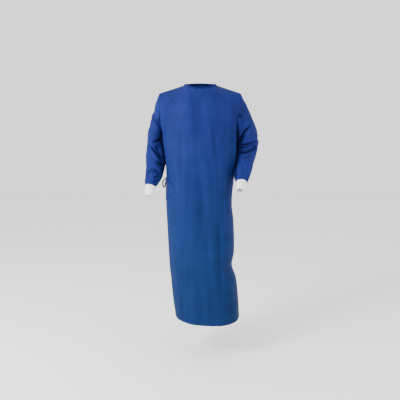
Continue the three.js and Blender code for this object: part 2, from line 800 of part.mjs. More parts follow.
// A flat strip along a smooth curve through chosen points
function strip(points, widthWay, width, count) {
  const curve = new THREE.CatmullRomCurve3(points, false, "centripetal");
  const lines = [];
  for (const t of steps(0, 1, count)) {
    const along = curve.getTangentAt(t);
    const side = widthWay.clone().addScaledVector(along, -widthWay.dot(along)).normalize();
    const face = along.clone().cross(side);
    const corner = (a, b) =>
      curve
        .getPointAt(t)
        .addScaledVector(side, (a * width) / 2)
        .addScaledVector(face, (b * TIE_WALL) / 2);
    lines.push([corner(-1, -1), corner(1, -1), corner(1, 1), corner(-1, 1)]);
  }
  const positions = lines.flat().flatMap((point) => [point.x, point.y, point.z]);
  const index = [];
  const quad = (a, b, c, d) => index.push(a, b, c, a, c, d);
  for (let j = 0; j < lines.length - 1; j += 1) {
    for (let i = 0; i < 4; i += 1) {
      const next = (i + 1) % 4;
      quad(4 * j + i, 4 * j + next, 4 * j + 4 + next, 4 * j + 4 + i);
    }
  }
  const end = 4 * (lines.length - 1);
  quad(3, 2, 1, 0);
  quad(end, end + 1, end + 2, end + 3);
  const geometry = new THREE.BufferGeometry();
  geometry.setAttribute("position", new THREE.Float32BufferAttribute(positions, 3));
  geometry.setIndex(index);
  geometry.computeVertexNormals();
  return geometry;
}

// A bow: a knot, two loops and two tails, whose strips leave the knot a seam's gap away
function makeBow(name, knotPlace, strips) {
  const knot = piece(`${name}_knot`, new THREE.SphereGeometry(KNOT_SIZE / 2, 10, 7), darkBlue);
  knot.position.copy(knotPlace);
  const leaving = (next) => {
    const way = next.clone().sub(knotPlace).normalize();
    return knotPlace.clone().addScaledVector(way, KNOT_SIZE / 2 + SEAM_GAP);
  };
  const parts = [knot];
  for (const { key, points, wide, loop } of strips) {
    const route = [leaving(points[0]), ...points];
    if (loop) route.push(leaving(points[points.length - 1]));
    const count = loop ? LOOP_STEPS : TAIL_STEPS;
    parts.push(piece(`${name}_${key}`, strip(route, vector(wide), TIE_WIDTH, count), darkBlue));
  }
  return parts;
}

// The bow at the back of the neck: loops from the knot, tails down the outer layer
function makeNeckBow() {
  const seatOut = LAYER_LIFT + SEAM_GAP + KNOT_SIZE / 2 + NECK_KNOT_OUT;
  const knotPlace = neckline(270).add(new THREE.Vector3(0, seatOut, -NECK_KNOT_DROP));
  const near = (x, y, z) => knotPlace.clone().add(new THREE.Vector3(x, y, z));
  const down = (turn, rise) => {
    const point = upperPoint(turn, rise, "back");
    return point.addScaledVector(outWay(point), LAYER_LIFT + TAIL_CLEAR);
  };
  const loop = (side) => neckLoop.map(({ across, out, up }) => near(side * across, out, up));
  const tail = (route) => route.map(({ turn, rise }) => down(turn, rise));
  const level = { x: 1, y: 0, z: 0 };
  return makeBow("neck", knotPlace, [
    { key: "loop_right", points: loop(-1), wide: { x: -0.4, y: 0, z: 0.9 }, loop: true },
    { key: "loop_left", points: loop(1), wide: { x: 0.4, y: 0, z: 0.9 }, loop: true },
    { key: "tail_right", points: tail(neckTails.right), wide: level },
    { key: "tail_left", points: tail(neckTails.left), wide: level },
  ]);
}

// The bow on the wearer's right hip: its front loop stands out beside the body
function makeWaistBow() {
  const at = (turn, z, out) => {
    const point = sectionPoint(turn, z);
    return point.addScaledVector(outWay(point), LAYER_LIFT + out);
  };
  const knotPlace = at(WAIST_KNOT_TURN, WAIST_KNOT_Z, SEAM_GAP + KNOT_SIZE / 2);
  const beyond = sectionPoint(WAIST_KNOT_TURN + 9, WAIST_KNOT_Z);
  const backward = beyond.sub(sectionPoint(WAIST_KNOT_TURN + 3, WAIST_KNOT_Z)).normalize();
  const near = ({ back, out, up }) =>
    knotPlace
      .clone()
      .addScaledVector(backward, back)
      .addScaledVector(outWay(knotPlace), out)
      .add(new THREE.Vector3(0, 0, up));
  const tail = ({ start, route }) => [near(start), ...route.map(({ turn, z, out }) => at(turn, z, out))];
  const upright = { x: backward.x * 0.4, y: backward.y * 0.4, z: 0.9 };
  return makeBow("waist", knotPlace, [
    { key: "loop_front", points: waistLoops.front.map(near), wide: { x: 0, y: 1, z: 0.2 }, loop: true },
    { key: "loop_back", points: waistLoops.back.map(near), wide: upright, loop: true },
    { key: "tail_front", points: tail(waistTails.front), wide: backward },
    { key: "tail_back", points: tail(waistTails.back), wide: backward },
  ]);
}

// The tab of the outer layer that the waist tie draws round to the front
function makeTab() {
  const step = NECK_POINT_TURN / SHOULDER_STEPS;
  const turns = steps(180 + 2 * step, 180 - (TAB_STEPS - 2) * step, TAB_STEPS);
  const grid = steps(0, 1, TAB_ROWS).map((share) =>
    turns.map((turn) => {
      const top = sample(tabEdges, "turn", turn, "top");
      const bottom = sample(tabEdges, "turn", turn, "bottom");
      const point = sectionPoint(turn, THREE.MathUtils.lerp(bottom, top, share));
      return point.addScaledVector(outWay(point), TAB_LIFT);
    }),
  );
  return piece("wrap_tab", clothWall(grid), blue);
}

const gown = new THREE.Group();
gown.add(makeFront(), makeBackRight(), makeBackLeft(), makeTab(), makeBinding());
for (const side of ["right", "left"]) gown.add(makeSleeve(side), makeCuff(side));
gown.add(...makeNeckBow(), ...makeWaistBow());

export default gown;
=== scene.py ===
"""A long-sleeved surgical gown as it is worn: hollow cloth shells, knitted cuffs, bound neck and ties.

Tables and shapes are in millimetres, +Z up, the front faces -Y and the wearer's left is +X.
Meshes are made in metres.
"""

import math

import bpy
import numpy as np
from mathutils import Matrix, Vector, noise

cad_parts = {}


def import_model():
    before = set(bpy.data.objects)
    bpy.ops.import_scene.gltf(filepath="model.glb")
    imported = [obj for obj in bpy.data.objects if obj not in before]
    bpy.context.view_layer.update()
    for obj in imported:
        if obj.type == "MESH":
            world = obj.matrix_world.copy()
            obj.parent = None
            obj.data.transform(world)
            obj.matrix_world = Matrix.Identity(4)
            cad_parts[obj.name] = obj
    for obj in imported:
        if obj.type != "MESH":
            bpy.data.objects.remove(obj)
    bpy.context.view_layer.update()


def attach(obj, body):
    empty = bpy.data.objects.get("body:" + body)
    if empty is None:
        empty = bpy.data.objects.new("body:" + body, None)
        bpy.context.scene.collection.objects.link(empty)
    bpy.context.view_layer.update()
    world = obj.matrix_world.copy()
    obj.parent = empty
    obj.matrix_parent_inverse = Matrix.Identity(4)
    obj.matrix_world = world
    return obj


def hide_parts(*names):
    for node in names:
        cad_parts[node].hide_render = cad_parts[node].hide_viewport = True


# Cloth
WALL = 0.9
LAYER_LIFT = 6.4
EDGE_LIFT = 2.4
LIFT_START_TURN = 306
LIFT_END_TURN = 296
TAB_LIFT = 1.9
TAB_START_TURN = 191.5
TAB_END_TURN = 134

# Body
UNDERARM_Z = -262
HEM_Z = -1330
SIDE_SEAM_Y = 12
HEM_DROP_TOP_Z = -1100
HEM_FRONT_DROP = 20
HEM_FOLD = 14
HEM_RAISE = 0.5
HEM_STITCH_ROW = 4
NECK_POINT_TURN = 52
ARMHOLE_REACH_TURN = 47
UPPER_PULL = 230
SHOULDER_PULL = 400
SHOULDER_SLOPE = math.radians(20)
NECK_PULL = 190
NECK_SLOPE = math.radians(60)
TURN_STEP = 1.3
CLOSE_TURNS = (0.12, 0.4, 0.8)
EASE_PASSES = 60
ROW_STEP = 4.6

# Neckline seam, under the binding
NECK_HALF_WIDTH = 92
NECK_POINT_Y = 2
NECK_POINT_Z = -7
NECK_FRONT_DEPTH = 88
NECK_BACK_DEPTH = 72
NECK_FRONT_DROP = 26
NECK_BACK_RISE = 8
BINDING_HEIGHT = 9.6
BINDING_WALL = 2.4
BINDING_RISE = 0.9
BINDING_LEAN = 0.45

# Sleeves and cuffs
CAP_START_PULL = 70
UNDERARM_START_PULL = 30
CAP_END_PULL = 150
UNDERARM_END_PULL = 44
CAP_FLARE = 0.75
UNDERARM_FLARE = 0.4
SIDE_FLARE = 0.35
CAP_FALL = 0.9
SLEEVE_FOLD_RADIUS = 58
OUTWARD = {"right": -1, "left": 1}
SLEEVE_AROUND = 144
SLEEVE_TURNS = np.linspace(0, 2 * math.pi, SLEEVE_AROUND, endpoint=False)
CUFF_START_RADIUS = 26.5
CUFF_RIBS = 40
CUFF_WALL = 2.2
RIB_HEIGHT = 1.1

# Ties
TIE_WIDTH = 9
TIE_WALL = 1.3
KNOT_SIZE = 15
KNOT_HOLD = 1.5
TAIL_CLEAR = 3
NECK_KNOT_DROP = 8
NECK_KNOT_OUT = 5
WAIST_KNOT_TURN = 201
WAIST_KNOT_Z = -532

# Folds, small unevenness, and the shade painted into creases
SHADE_DEPTH = 14
PAINTED_CREASE_SHADE = 0.8
BODY_SHADE = 0.4
SLEEVE_STEEP = 0.6
BODY_SWELL = 3.2
BODY_RUMPLE = 1.1
SEAM_PUCKER = 0.9
SLEEVE_SWELL = 3.0
SLEEVE_RUMPLE = 1.3
BODY_SEEDS = {"front": 3.1, "back": 17.9}
SLEEVE_SEEDS = {"right": 23.8, "left": 5.5}

# Stitches
STITCH_LENGTH = 2.7
STITCH_GAP = 1.0
STITCH_WIDTH = 0.55
STITCH_RISE = 0.45
STITCH_SUNK = 0.25
STITCH_FACES = [
    (0, 2, 1), (0, 3, 2), (3, 5, 2), (3, 4, 5), (0, 6, 3), (3, 6, 4), (1, 2, 6), (2, 5, 6), (0, 1, 6),
    (4, 6, 5),
]

# Colours, the cloth's at the shoulders and at the hem
UPPER_BLUE = (0.0088, 0.0154, 0.105, 1)
LOWER_BLUE = (0.0056, 0.0199, 0.0835, 1)
SLEEVE_BLUE = (0.0088, 0.0158, 0.11, 1)
NECK_BLUE = (0.004, 0.0095, 0.08, 1)
TIE_BLUE = (0.002, 0.005, 0.035, 1)
THREAD_BLUE = (0.003, 0.015, 0.1, 1)
KNIT_WHITE = (0.86, 0.86, 0.87, 1)
BLACK = (0, 0, 0, 1)

# The length of tape in a knot, in metres
KNOT_CUT_LENGTH = 0.026

# The picture, in metres; lights have a place, a target, a size, a power in watts and a colour
LIGHTS = {
    "key": ((-2.6, -2.4, 1.5), (0, 0, -0.6), 1.2, 205, (1, 0.99, 0.97)),
    "edge": ((-3.4, -1.3, -0.5), (0, 0, -0.75), 1.4, 75, (0.85, 1, 1)),
    "fill": ((3.2, -1.7, 0.4), (0, 0, -0.6), 1.4, 38, (1, 0.96, 0.92)),
}
SKY_STRENGTH = 1.55
FLOOR_HALF = 9
FLOOR_Z = -1.55
CAMERA_PLACE = (0, -3.3, -0.25)
CAMERA_TARGET = (-0.002, 0, -0.655)
CAMERA_LENS = 52.1


# Cuts through the body: height, the reach to the right, left, front and back, by how much the front
# is deeper at the left, and the power of the curve
SECTIONS = [
    (-1330, -146, 228, -160, 130, 0.18, 2.4),
    (-1220, -161, 221, -155, 132, 0.16, 2.4),
    (-1110, -171, 208, -150, 134, 0.14, 2.4),
    (-1035, -179, 184, -146, 136, 0.12, 2.4),
    (-950, -184, 196, -142, 138, 0.1, 2.4),
    (-780, -192, 192, -138, 140, 0.06, 2.4),
    (-690, -196, 182, -136, 138, 0.03, 2.4),
    (-610, -197, 184, -134, 130, 0, 2.35),
    (-541, -194, 192, -134, 124, 0, 2.3),
    (-430, -199, 202, -142, 128, 0, 2.2),
    (-330, -211, 206, -146, 134, 0, 2.08),
    (-262, -220, 209, -140, 132, 0, 2.0),
]

# Points round each armhole, from the underarm up the front, over the shoulder tip and down the back
ARMHOLES = {
    "right": [
        (-220, 12, -262), (-224, -46, -216), (-225, -56, -122),
        (-229, 8, -51), (-225, 72, -116), (-223, 66, -214),
    ],
    "left": [
        (209, 12, -262), (205, -48, -216), (205, -58, -122),
        (226, 8, -51), (213, 72, -116), (209, 66, -214),
    ],
}
SHOULDER_TIP = 3

# Free edges of the back, height and turn: turn 0 and 180 are the side seams, 90 the front's middle,
# 270 the back's
OUTER_EDGE = [
    (-1330, 208),
    (-1000, 206),
    (-780, 200),
    (-655, 187),
    (-520, 187),
    (-465, 200),
    (-400, 214),
    (-262, 226),
    (-130, 245),
    (0, 262),
]
INNER_EDGE = [(-1330, 290), (-262, 290), (0, 280)]

# Edges of the tab: turn, top and bottom
TAB_EDGES = [
    (133, -572, -596),
    (150, -545, -628),
    (166, -526, -652),
    (192, -522, -656),
]

# Rings of the sleeves: the middle, half the width across and half the depth from front to back
SLEEVES = {
    "right": [
        (-258, 34, -300, 43, 62),
        (-259, 53, -352, 51.5, 61),
        (-259, 39, -410, 55, 60),
        (-257, 2, -462, 54, 54),
        (-265, -34, -514, 49, 46),
        (-277, -60, -554, 36, 36),
        (-280, -66, -568, 27, 27),
    ],
    "left": [
        (269, 34, -298, 62, 62),
        (268, 54, -345, 67, 58),
        (261.5, 33, -400, 56.5, 57),
        (250.5, -19, -450, 49, 52),
        (236, -60, -498, 47, 45),
        (229, -92, -533, 36, 34),
        (228, -102, -544, 27, 27),
    ],
}
CUFF_ENDS = {"right": (-287, -86, -622, 21.5), "left": (218, -140, -586, 21.5)}

# Folds as lines, in a front view where nothing else is said: x and z of the start and of the end, how
# far the line bows to its side, half the width at both ends, and the depth, below zero for a ridge
FRONT_FOLDS = [
    (-140, -66, -192, -140, 4, 10, 14, 4.5),
    (-126, -70, -176, -150, 4, 10, 14, -2.5),
    (-20, -50, -24, -330, 4, 38, 46, 5.5),
    (12, -36, -6, -150, 6, 18, 24, 2.5),
    (-84, -276, -82, -480, 4, 12, 16, -3),
    (-106, -250, -100, -470, -5, 12, 14, 2),
    (52, -200, 60, -430, 2, 8, 9, -4),
    (66, -240, 98, -510, 4, 6, 9, 4),
    (74, -306, 152, -374, -16, 10, 13, 3.5),
    (96, -300, 164, -350, -14, 9, 11, -2),
    (-8, -440, 6, -860, 4, 18, 24, 6),
    (46, -500, 66, -1000, -2, 18, 26, -4.5),
    (102, -730, 112, -1220, 2, 15, 20, 8.5),
    (134, -700, 150, -1010, 4, 14, 18, -3),
    (-138, -640, -122, -1150, 3, 16, 18, -4.5),
    (-108, -1150, -98, -1325, 2, 7, 10, 3.5),
    (-92, -1190, -84, -1325, 2, 6, 9, -2.5),
    (-120, -1180, -116, -1300, 1, 6, 8, -2),
    (178, -1022, 132, -1050, 4, 14, 16, 5.5),
    (150, -1080, 176, -1230, 6, 14, 20, -3),
    (-70, -820, -46, -1180, 5, 20, 28, 3),
    (-20, -1040, 10, -1310, 4, 18, 26, 3),
    (60, -1080, 64, -1320, 2, 16, 22, 3),
    (-176, -330, -150, -560, 6, 12, 15, 3.5),
    (-160, -300, -128, -520, 5, 10, 14, -2.5),
    (150, -210, 120, -330, 5, 12, 16, 3),
    (176, -420, 150, -640, -6, 12, 18, 4.5),
    (-60, -480, -66, -700, 2, 14, 18, 2.5),
]

# The back's folds are seen through from the front
BACK_FOLDS = [
    (-30, -110, -70, -430, 8, 16, 24, 6.5),
    (62, -140, 50, -520, -6, 16, 22, 7.5),
    (92, -180, 84, -500, 5, 14, 18, -4),
    (10, -360, 20, -900, 6, 18, 26, -5),
    (-82, -540, -60, -1325, 8, 15, 26, 11),
    (-112, -600, -98, -1325, 5, 14, 20, -5),
    (90, -580, 110, -1325, -8, 15, 26, 12),
    (128, -700, 146, -1325, -5, 14, 20, -5),
    (40, -780, 34, -1325, 5, 14, 22, 7),
    (-16, -900, -20, -1325, 3, 14, 20, 5),
    (146, -320, 30, -510, -14, 12, 16, 6),
    (120, -290, 10, -450, -12, 10, 14, -3.5),
    (130, -430, -40, -560, -12, 11, 15, 5),
    (-170, -300, -110, -470, 10, 12, 16, 5),
    (-150, -430, -90, -540, 8, 10, 14, 5),
    (150, -120, 110, -230, 6, 12, 16, 4.5),
    (-150, -120, -110, -230, -6, 12, 16, 4.5),
]

SLEEVE_FRONT_FOLDS = {
    "right": [
        (-262, -128, -262, -196, 3, 8, 9, 5),
        (-276, -182, -222, -238, 3, 7, 7, 14),
        (-279, -168, -232, -208, 3, 9, 9, -6),
        (-292, -240, -262, -304, 6, 18, 20, -5),
        (-202, -284, -272, -330, 5, 10, 12, 12),
        (-212, -302, -262, -338, 4, 9, 9, -5),
        (-300, -334, -206, -430, 5, 7, 8, 9),
        (-290, -350, -222, -444, 5, 8, 9, -5),
        (-250, -340, -200, -424, -5, 8, 9, 10),
        (-252, -426, -200, -452, 4, 7, 8, 11),
        (-304, -512, -266, -466, 4, 7, 8, 8),
        (-268, -464, -220, -506, 4, 7, 8, 9),
        (-290, -500, -262, -484, -3, 9, 9, -5),
        (-262, -524, -226, -508, 3, 6, 6, 8),
        (-268, -548, -232, -530, 2, 5, 6, 6),
    ],
    "left": [
        (196, -176, 242, -180, 2, 13, 11, 12),
        (286, -226, 206, -334, -8, 8, 11, 15),
        (300, -246, 262, -314, -8, 13, 14, -9),
        (256, -318, 326, -300, -4, 8, 9, -7),
        (204, -342, 334, -296, -16, 8, 9, 14),
        (222, -361, 304, -348, -4, 7, 8, -6),
        (210, -380, 336, -344, -9, 8, 10, 12),
        (226, -400, 300, -392, -5, 8, 9, 6),
        (300, -330, 322, -380, 4, 9, 10, 4),
        (236, -440, 226, -540, 4, 8, 9, 3),
    ],
}

# Deep shade between the sleeves and the body: depth is how dark it is
SLEEVE_PAINTED_SHADE = {
    "right": [
        (-208, -300, -198, -440, 0, 10, 16, 9),
        (-252, -446, -196, -452, 0, 10, 16, 10),
        (-226, -452, -206, -520, 0, 12, 10, 7),
    ],
    "left": [
        (210, -180, 208, -330, 0, 6, 10, 9),
        (210, -280, 210, -430, 0, 12, 12, 12),
        (208, -400, 192, -540, 0, 9, 9, 12),
        (242, -110, 228, -270, 0, 24, 18, 5),
        (220, -326, 256, -280, 0, 13, 13, 8),
        (214, -400, 200, -470, 0, 14, 10, 8),
    ],
}

# Folds on the rest of the sleeves: x is the turn round the sleeve, which is 0 on the outside, 90 at
# the front and 180 on the inside, and z the way down from the armhole
SLEEVE_FOLDS = {
    "right": [
        (213, 40, 210, 360, 0, 24, 26, -18),
        (240, 150, 320, 262, 8, 12, 15, 9),
        (252, 196, 330, 300, 6, 10, 14, 8),
        (300, 60, 258, 150, 6, 12, 15, 6),
        (330, 330, 380, 352, 4, 8, 10, 5),
        (230, 310, 300, 340, 5, 9, 12, 7),
        (244, 350, 300, 372, 5, 9, 12, 6),
    ],
    "left": [
        (212, 40, 210, 400, 0, 23, 25, -15),
        (208, 300, 206, 460, 0, 22, 22, -11),
        (2, 200, 0, 330, 0, 22, 24, -8),
        (240, 156, 310, 252, 8, 11, 15, 9),
        (252, 200, 330, 286, 6, 10, 13, 8),
        (320, 140, 352, 236, 5, 11, 14, 5.5),
        (300, 54, 262, 150, 6, 12, 15, 6),
        (230, 290, 292, 322, 5, 9, 12, 7),
        (240, 330, 300, 350, 5, 9, 12, 6),
    ],
}

# Way of a loop of the neck bow, from the knot
NECK_LOOP = [(18, 0, 8), (36, 5, -3), (50, 14, -19), (37, 14, 4), (18, 11, 12)]

# Ways of the tails of the neck bow down the outer layer: turn and rise
NECK_TAILS = {
    "right": [(264, 0.83), (263, 0.7), (265, 0.5)],
    "left": [(277, 0.83), (279, 0.68), (278, 0.4)],
}

# Ways of the waist bow from its knot: back, out and up
WAIST_LOOPS = {
    "front": [(-6, 10, -8), (-8, 17, -25), (-9, 16, -44), (-11, 6, -57), (-14, -2, -36)],
    "back": [(18, 1, 9), (32, 2, -2), (44, 4, -24), (34, -1, -8), (19, -5, 5)],
}
WAIST_TAIL_STARTS = {"front": (2, -4, -14), "back": (13, 3, -15)}
WAIST_TAILS = {
    "front": [(205, -620, 3), (208, -690, 3)],
    "back": [(212, -590, 8), (216, -735, 4)],
}


# Shapes


def smoothstep(value, low, high):
    t = np.clip((np.asarray(value, float) - low) / (high - low), 0, 1)
    return t * t * (3 - 2 * t)


def hermite(start, start_pull, end, end_pull, share):
    s2 = share * share
    s3 = s2 * share
    return (
        start * (2 * s3 - 3 * s2 + 1)
        + start_pull * (s3 - 2 * s2 + share)
        + end * (3 * s2 - 2 * s3)
        + end_pull * (s3 - s2)
    )


def curves(table, at):
    """Smooth curves through the columns of a table, over its first column."""
    table = np.array(sorted(table), float)
    keys, values = table[:, 0], table[:, 1:]
    last = len(keys) - 1
    index = np.arange(last + 1)
    before, after = np.maximum(index - 1, 0), np.minimum(index + 1, last)
    slopes = (values[after] - values[before]) / (keys[after] - keys[before])[:, None]
    place = np.clip(at, keys[0], keys[-1])
    i = np.clip(np.searchsorted(keys, place) - 1, 0, last - 1)
    span = (keys[i + 1] - keys[i])[..., None]
    share = (place - keys[i])[..., None] / span
    found = hermite(values[i], slopes[i] * span, values[i + 1], slopes[i + 1] * span, share)
    return np.moveaxis(found, -1, 0)


def distances(points, axis=0):
    """The way along each line of points, from its first point."""
    steps = np.linalg.norm(np.diff(points, axis=axis), axis=-1).cumsum(axis)
    return np.concatenate([np.zeros_like(steps.take([0], axis)), steps], axis)


def interpolated(place, run, points):
    """Points at other distances along a line."""
    return np.stack([np.interp(place, run, points[:, k]) for k in range(3)], -1)


def unit(vectors):
    length = np.linalg.norm(vectors, axis=-1, keepdims=True)
    return vectors / np.maximum(length, 1e-9)


def spline(points, at, closed=False):
    """Points of a centripetal curve through the given ones; at runs from 0 to 1."""
    points = np.asarray(points, float)
    if closed:
        longer = np.vstack([points[-1], points, points[:2]])
    else:
        longer = np.vstack([2 * points[0] - points[1], points, 2 * points[-1] - points[-2]])
    spans = len(longer) - 3
    place = np.asarray(at, float) * spans
    first = np.clip(np.floor(place).astype(int), 0, spans - 1)
    share = (place - first)[..., None]
    p0, p1, p2, p3 = (longer[first + k] for k in range(4))
    d0, d1, d2 = (
        np.maximum(np.linalg.norm(b - a, axis=-1, keepdims=True), 1e-6) ** 0.5
        for a, b in ((p0, p1), (p1, p2), (p2, p3))
    )
    t1 = ((p1 - p0) / d0 - (p2 - p0) / (d0 + d1) + (p2 - p1) / d1) * d1
    t2 = ((p2 - p1) / d1 - (p3 - p1) / (d1 + d2) + (p3 - p2) / d2) * d1
    return hermite(p1, t1, p2, t2, share)


def spline_way(points, at):
    """The direction of an open curve."""
    at = np.asarray(at, float)
    before, after = np.clip(at - 1e-4, 0, 1), np.clip(at + 1e-4, 0, 1)
    return unit(spline(points, after) - spline(points, before))


def section_point(turn, z):
    """A point of the body below the armholes."""
    turn, z = np.broadcast_arrays(np.asarray(turn, float), np.asarray(z, float))
    right, left, front, back, lean, power = curves(SECTIONS, z)
    c, s = np.cos(np.radians(turn)), np.sin(np.radians(turn))
    reach = np.where(s > 0, (front - SIDE_SEAM_Y) * (1 + lean * c), back - SIDE_SEAM_Y)
    drop = HEM_FRONT_DROP * np.clip((z - HEM_DROP_TOP_Z) / (HEM_Z - HEM_DROP_TOP_Z), 0, 1)
    x = (left + right) / 2 + (left - right) / 2 * np.sign(c) * np.abs(c) ** (2 / power)
    y = SIDE_SEAM_Y + reach * np.abs(s) ** (2 / power)
    return np.stack([x, y, z - drop * np.maximum(s, 0)], -1)


def neckline(around):
    """The neckline seam: 0 is the wearer's left neck point, 90 the front, 270 the back."""
    c, s = np.cos(np.radians(around)), np.sin(np.radians(around))
    depth = np.where(s > 0, NECK_FRONT_DEPTH, NECK_BACK_DEPTH)
    drop = np.where(s > 0, -NECK_FRONT_DROP, NECK_BACK_RISE)
    return np.stack([NECK_HALF_WIDTH * c, NECK_POINT_Y - depth * s, NECK_POINT_Z + drop * s * s], -1)


def neck_around(turn):
    turn = np.asarray(turn, float)
    share = (turn % 180 - NECK_POINT_TURN) / (180 - 2 * NECK_POINT_TURN)
    return np.where(turn >= 180, 180, 0) + 180 * share


def from_side(turn):
    """How far a turn is from the nearer side seam."""
    half = np.asarray(turn, float) % 180
    return np.minimum(half, 180 - half)


def top_edge(turn):
    """The upper edge of front and back: shoulder seam, neckline, shoulder seam."""
    away = from_side(turn)[..., None]
    on_left = (np.cos(np.radians(turn)) > 0)[..., None]
    tip = np.where(on_left, ARMHOLES["left"][SHOULDER_TIP], ARMHOLES["right"][SHOULDER_TIP])
    neck_point = np.where(on_left, neckline(0.0), neckline(180.0))
    shoulder = tip + (neck_point - tip) * away / NECK_POINT_TURN
    return np.where(away >= NECK_POINT_TURN, neckline(neck_around(turn)), shoulder)


def top_pull(turn, half):
    """The way and the force with which the cloth runs into the upper edge."""
    inward = 1 if half == "front" else -1
    on_neck = from_side(turn) > NECK_POINT_TURN
    share = np.where(on_neck, np.sin(np.radians(neck_around(turn) % 180)), 0)[..., None]

    def climb(slope, pull):
        return np.array([0, inward * math.cos(slope), math.sin(slope)]) * pull

    return climb(SHOULDER_SLOPE, SHOULDER_PULL) * (1 - share) + climb(NECK_SLOPE, NECK_PULL) * share


def armhole_point(side, half, rise):
    """A point of an armhole: rise is 0 at the underarm and 1 at the shoulder tip."""
    rise = np.asarray(rise, float)
    return spline(ARMHOLES[side], rise / 2 if half == "front" else (1 - rise / 2) % 1, True)


def upper_point(turn, rise, half):
    """A point above the underarm: rise is 1 at the shoulder seam and neckline."""
    turn, rise = np.broadcast_arrays(np.asarray(turn, float), np.asarray(rise, float))

    def plain(at):
        up = np.array([0.0, 0.0, UPPER_PULL])
        start = section_point(at, UNDERARM_Z)
        return hermite(start, up, top_edge(at), top_pull(at, half), rise[..., None])

    on_left = np.cos(np.radians(turn)) > 0
    edge = np.where(
        on_left[..., None], armhole_point("left", half, rise), armhole_point("right", half, rise)
    )
    side_turn = np.where(on_left, 0.0, 180.0)
    share = 1 - smoothstep(from_side(turn), 0, ARMHOLE_REACH_TURN)
    return plain(turn) + (edge - plain(side_turn)) * share[..., None]


def grid_normals(grid, around):
    if around:
        across = np.roll(grid, -1, 1) - np.roll(grid, 1, 1)
    else:
        padded = np.concatenate([grid[:, :1], grid, grid[:, -1:]], 1)
        across = padded[:, 2:] - padded[:, :-2]
    padded = np.concatenate([grid[:1], grid, grid[-1:]], 0)
    return unit(np.cross(across, padded[2:] - padded[:-2]))


def faces_in(grid):
    """Whether the normals of a tube's grid point into the tube."""
    return ((grid - grid.mean(1, keepdims=True)) * grid_normals(grid, True)).sum() < 0


def out_way(points):
    """Level and away from the middle of the body."""
    way = np.array(points, float) - [0, NECK_POINT_Y, 0]
    way[..., 2] = 0
    return unit(way)


def fold_depth(folds, x, z, steep=1.0):
    """The depth of troughs and ridges that taper to both ends, and the shade in their creases.

    A steep of less than 1 makes the upper flank of a fold that much narrower.
    """
    depth, shade = np.zeros_like(x), np.zeros_like(x)
    for x0, z0, x1, z1, bend, half0, half1, deep in folds:
        length = math.hypot(x1 - x0, z1 - z0)
        ux, uz = (x1 - x0) / length, (z1 - z0) / length
        along = ((x - x0) * ux + (z - z0) * uz) / length
        share = np.clip(along, 0, 1)
        aside = (x - x0) * -uz + (z - z0) * ux - bend * 4 * share * (1 - share)
        above = aside * (1 if ux >= 0 else -1)
        half = (half0 + (half1 - half0) * share) * np.where(above > 0, steep, 2 - steep)
        taper = smoothstep(along, -0.08, 0.3) * (1 - smoothstep(along, 0.7, 1.08))
        depth += deep * np.exp(-((aside / half) ** 2)) * taper
        # Troughs get painted shade along their crease, darker the deeper they are
        if deep > 0:
            crease_shade = np.exp(-((aside / half / 0.7) ** 2)) * taper * min(deep / SHADE_DEPTH, 1)
            shade = np.maximum(shade, crease_shade)
    return depth, shade


def ripple(points, scale, seed):
    """Smooth noise from -1 to 1; its scale is in millimetres, for all axes or for each one."""
    flat = points.reshape(-1, 3) / scale + seed
    values = [noise.noise(Vector(p)) for p in flat]
    return np.array(values).reshape(points.shape[:-1])


def seam_groove(distance):
    """The sunk line of a seam and the soft swell beside it."""
    return -0.6 * np.exp(-((distance / 1.6) ** 2)) + 0.3 * np.exp(-(((distance - 5) / 3) ** 2))


# Meshes


def mesh_object(key, points, faces, uv, material, sharp=50, shade=None):
    """A piece of the gown from points in millimetres; sharp is the angle of its hard edges."""
    mesh = bpy.data.meshes.new(f"gown_{key}")
    mesh.from_pydata((np.asarray(points) / 1000).tolist(), [], faces)
    mesh.update()
    layer = mesh.uv_layers.new(name="cloth")
    corner = np.zeros(len(mesh.loops), np.int32)
    mesh.loops.foreach_get("vertex_index", corner)
    layer.data.foreach_set("uv", (np.asarray(uv)[corner] / 1000).astype(np.float32).ravel())
    mesh.polygons.foreach_set("use_smooth", np.ones(len(mesh.polygons), bool))
    mesh.set_sharp_from_angle(angle=math.radians(sharp))
    # The painted shade of the creases is kept on each point for the cloth material
    if shade is not None:
        mesh.attributes.new("crease_shade", "FLOAT", "POINT").data.foreach_set("value", shade)
    mesh.materials.append(material)
    obj = bpy.data.objects.new(f"gown_{key}", mesh)
    bpy.context.scene.collection.objects.link(obj)
    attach(obj, "root")
    return obj


def grid_uv(grid, around):
    """Distances along and up the cloth, in millimetres, of every point of a grid."""
    along = distances(grid[len(grid) // 2])
    up = distances(grid[:, 0 if around else grid.shape[1] // 2])
    return np.stack(np.broadcast_arrays(along, up[:, None]), -1).reshape(-1, 2)


def wall_faces(lines, count, around):
    """Faces between an outer and an inner grid, and along the borders."""
    spans = count if around else count - 1
    j, i = np.meshgrid(np.arange(lines - 1), np.arange(spans), indexing="ij")
    a, b = j * count + i, j * count + (i + 1) % count
    outer = np.stack([a, b, b + count, a + count], -1).reshape(-1, 4)
    base, top = lines * count, (lines - 1) * count
    s = np.arange(spans)
    n = (s + 1) % count
    faces = [
        outer,
        outer[:, ::-1] + base,
        np.stack([base + s, base + n, n, s], -1),
        np.stack([top + s, top + n, base + top + n, base + top + s], -1),
    ]
    if not around:
        r = np.arange(lines - 1) * count
        e = r + count - 1
        faces.append(np.stack([r, r + count, base + r + count, base + r], -1))
        faces.append(np.stack([base + e, base + e + count, e + count, e], -1))
    return np.concatenate(faces).tolist()


def walled(node, outer, inner, material, around, sharp=50, shade=None):
    """A closed wall between an outer and an inner grid."""
    points = np.concatenate([outer.reshape(-1, 3), inner.reshape(-1, 3)])
    uv = np.tile(grid_uv(outer, around), (2, 1))
    faces = wall_faces(len(outer), outer.shape[1], around)
    if shade is not None:
        shade = np.tile(shade.ravel(), 2).astype(np.float32)
    obj = mesh_object(node, points, faces, uv, material, sharp, shade)
    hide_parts(node)
    return obj


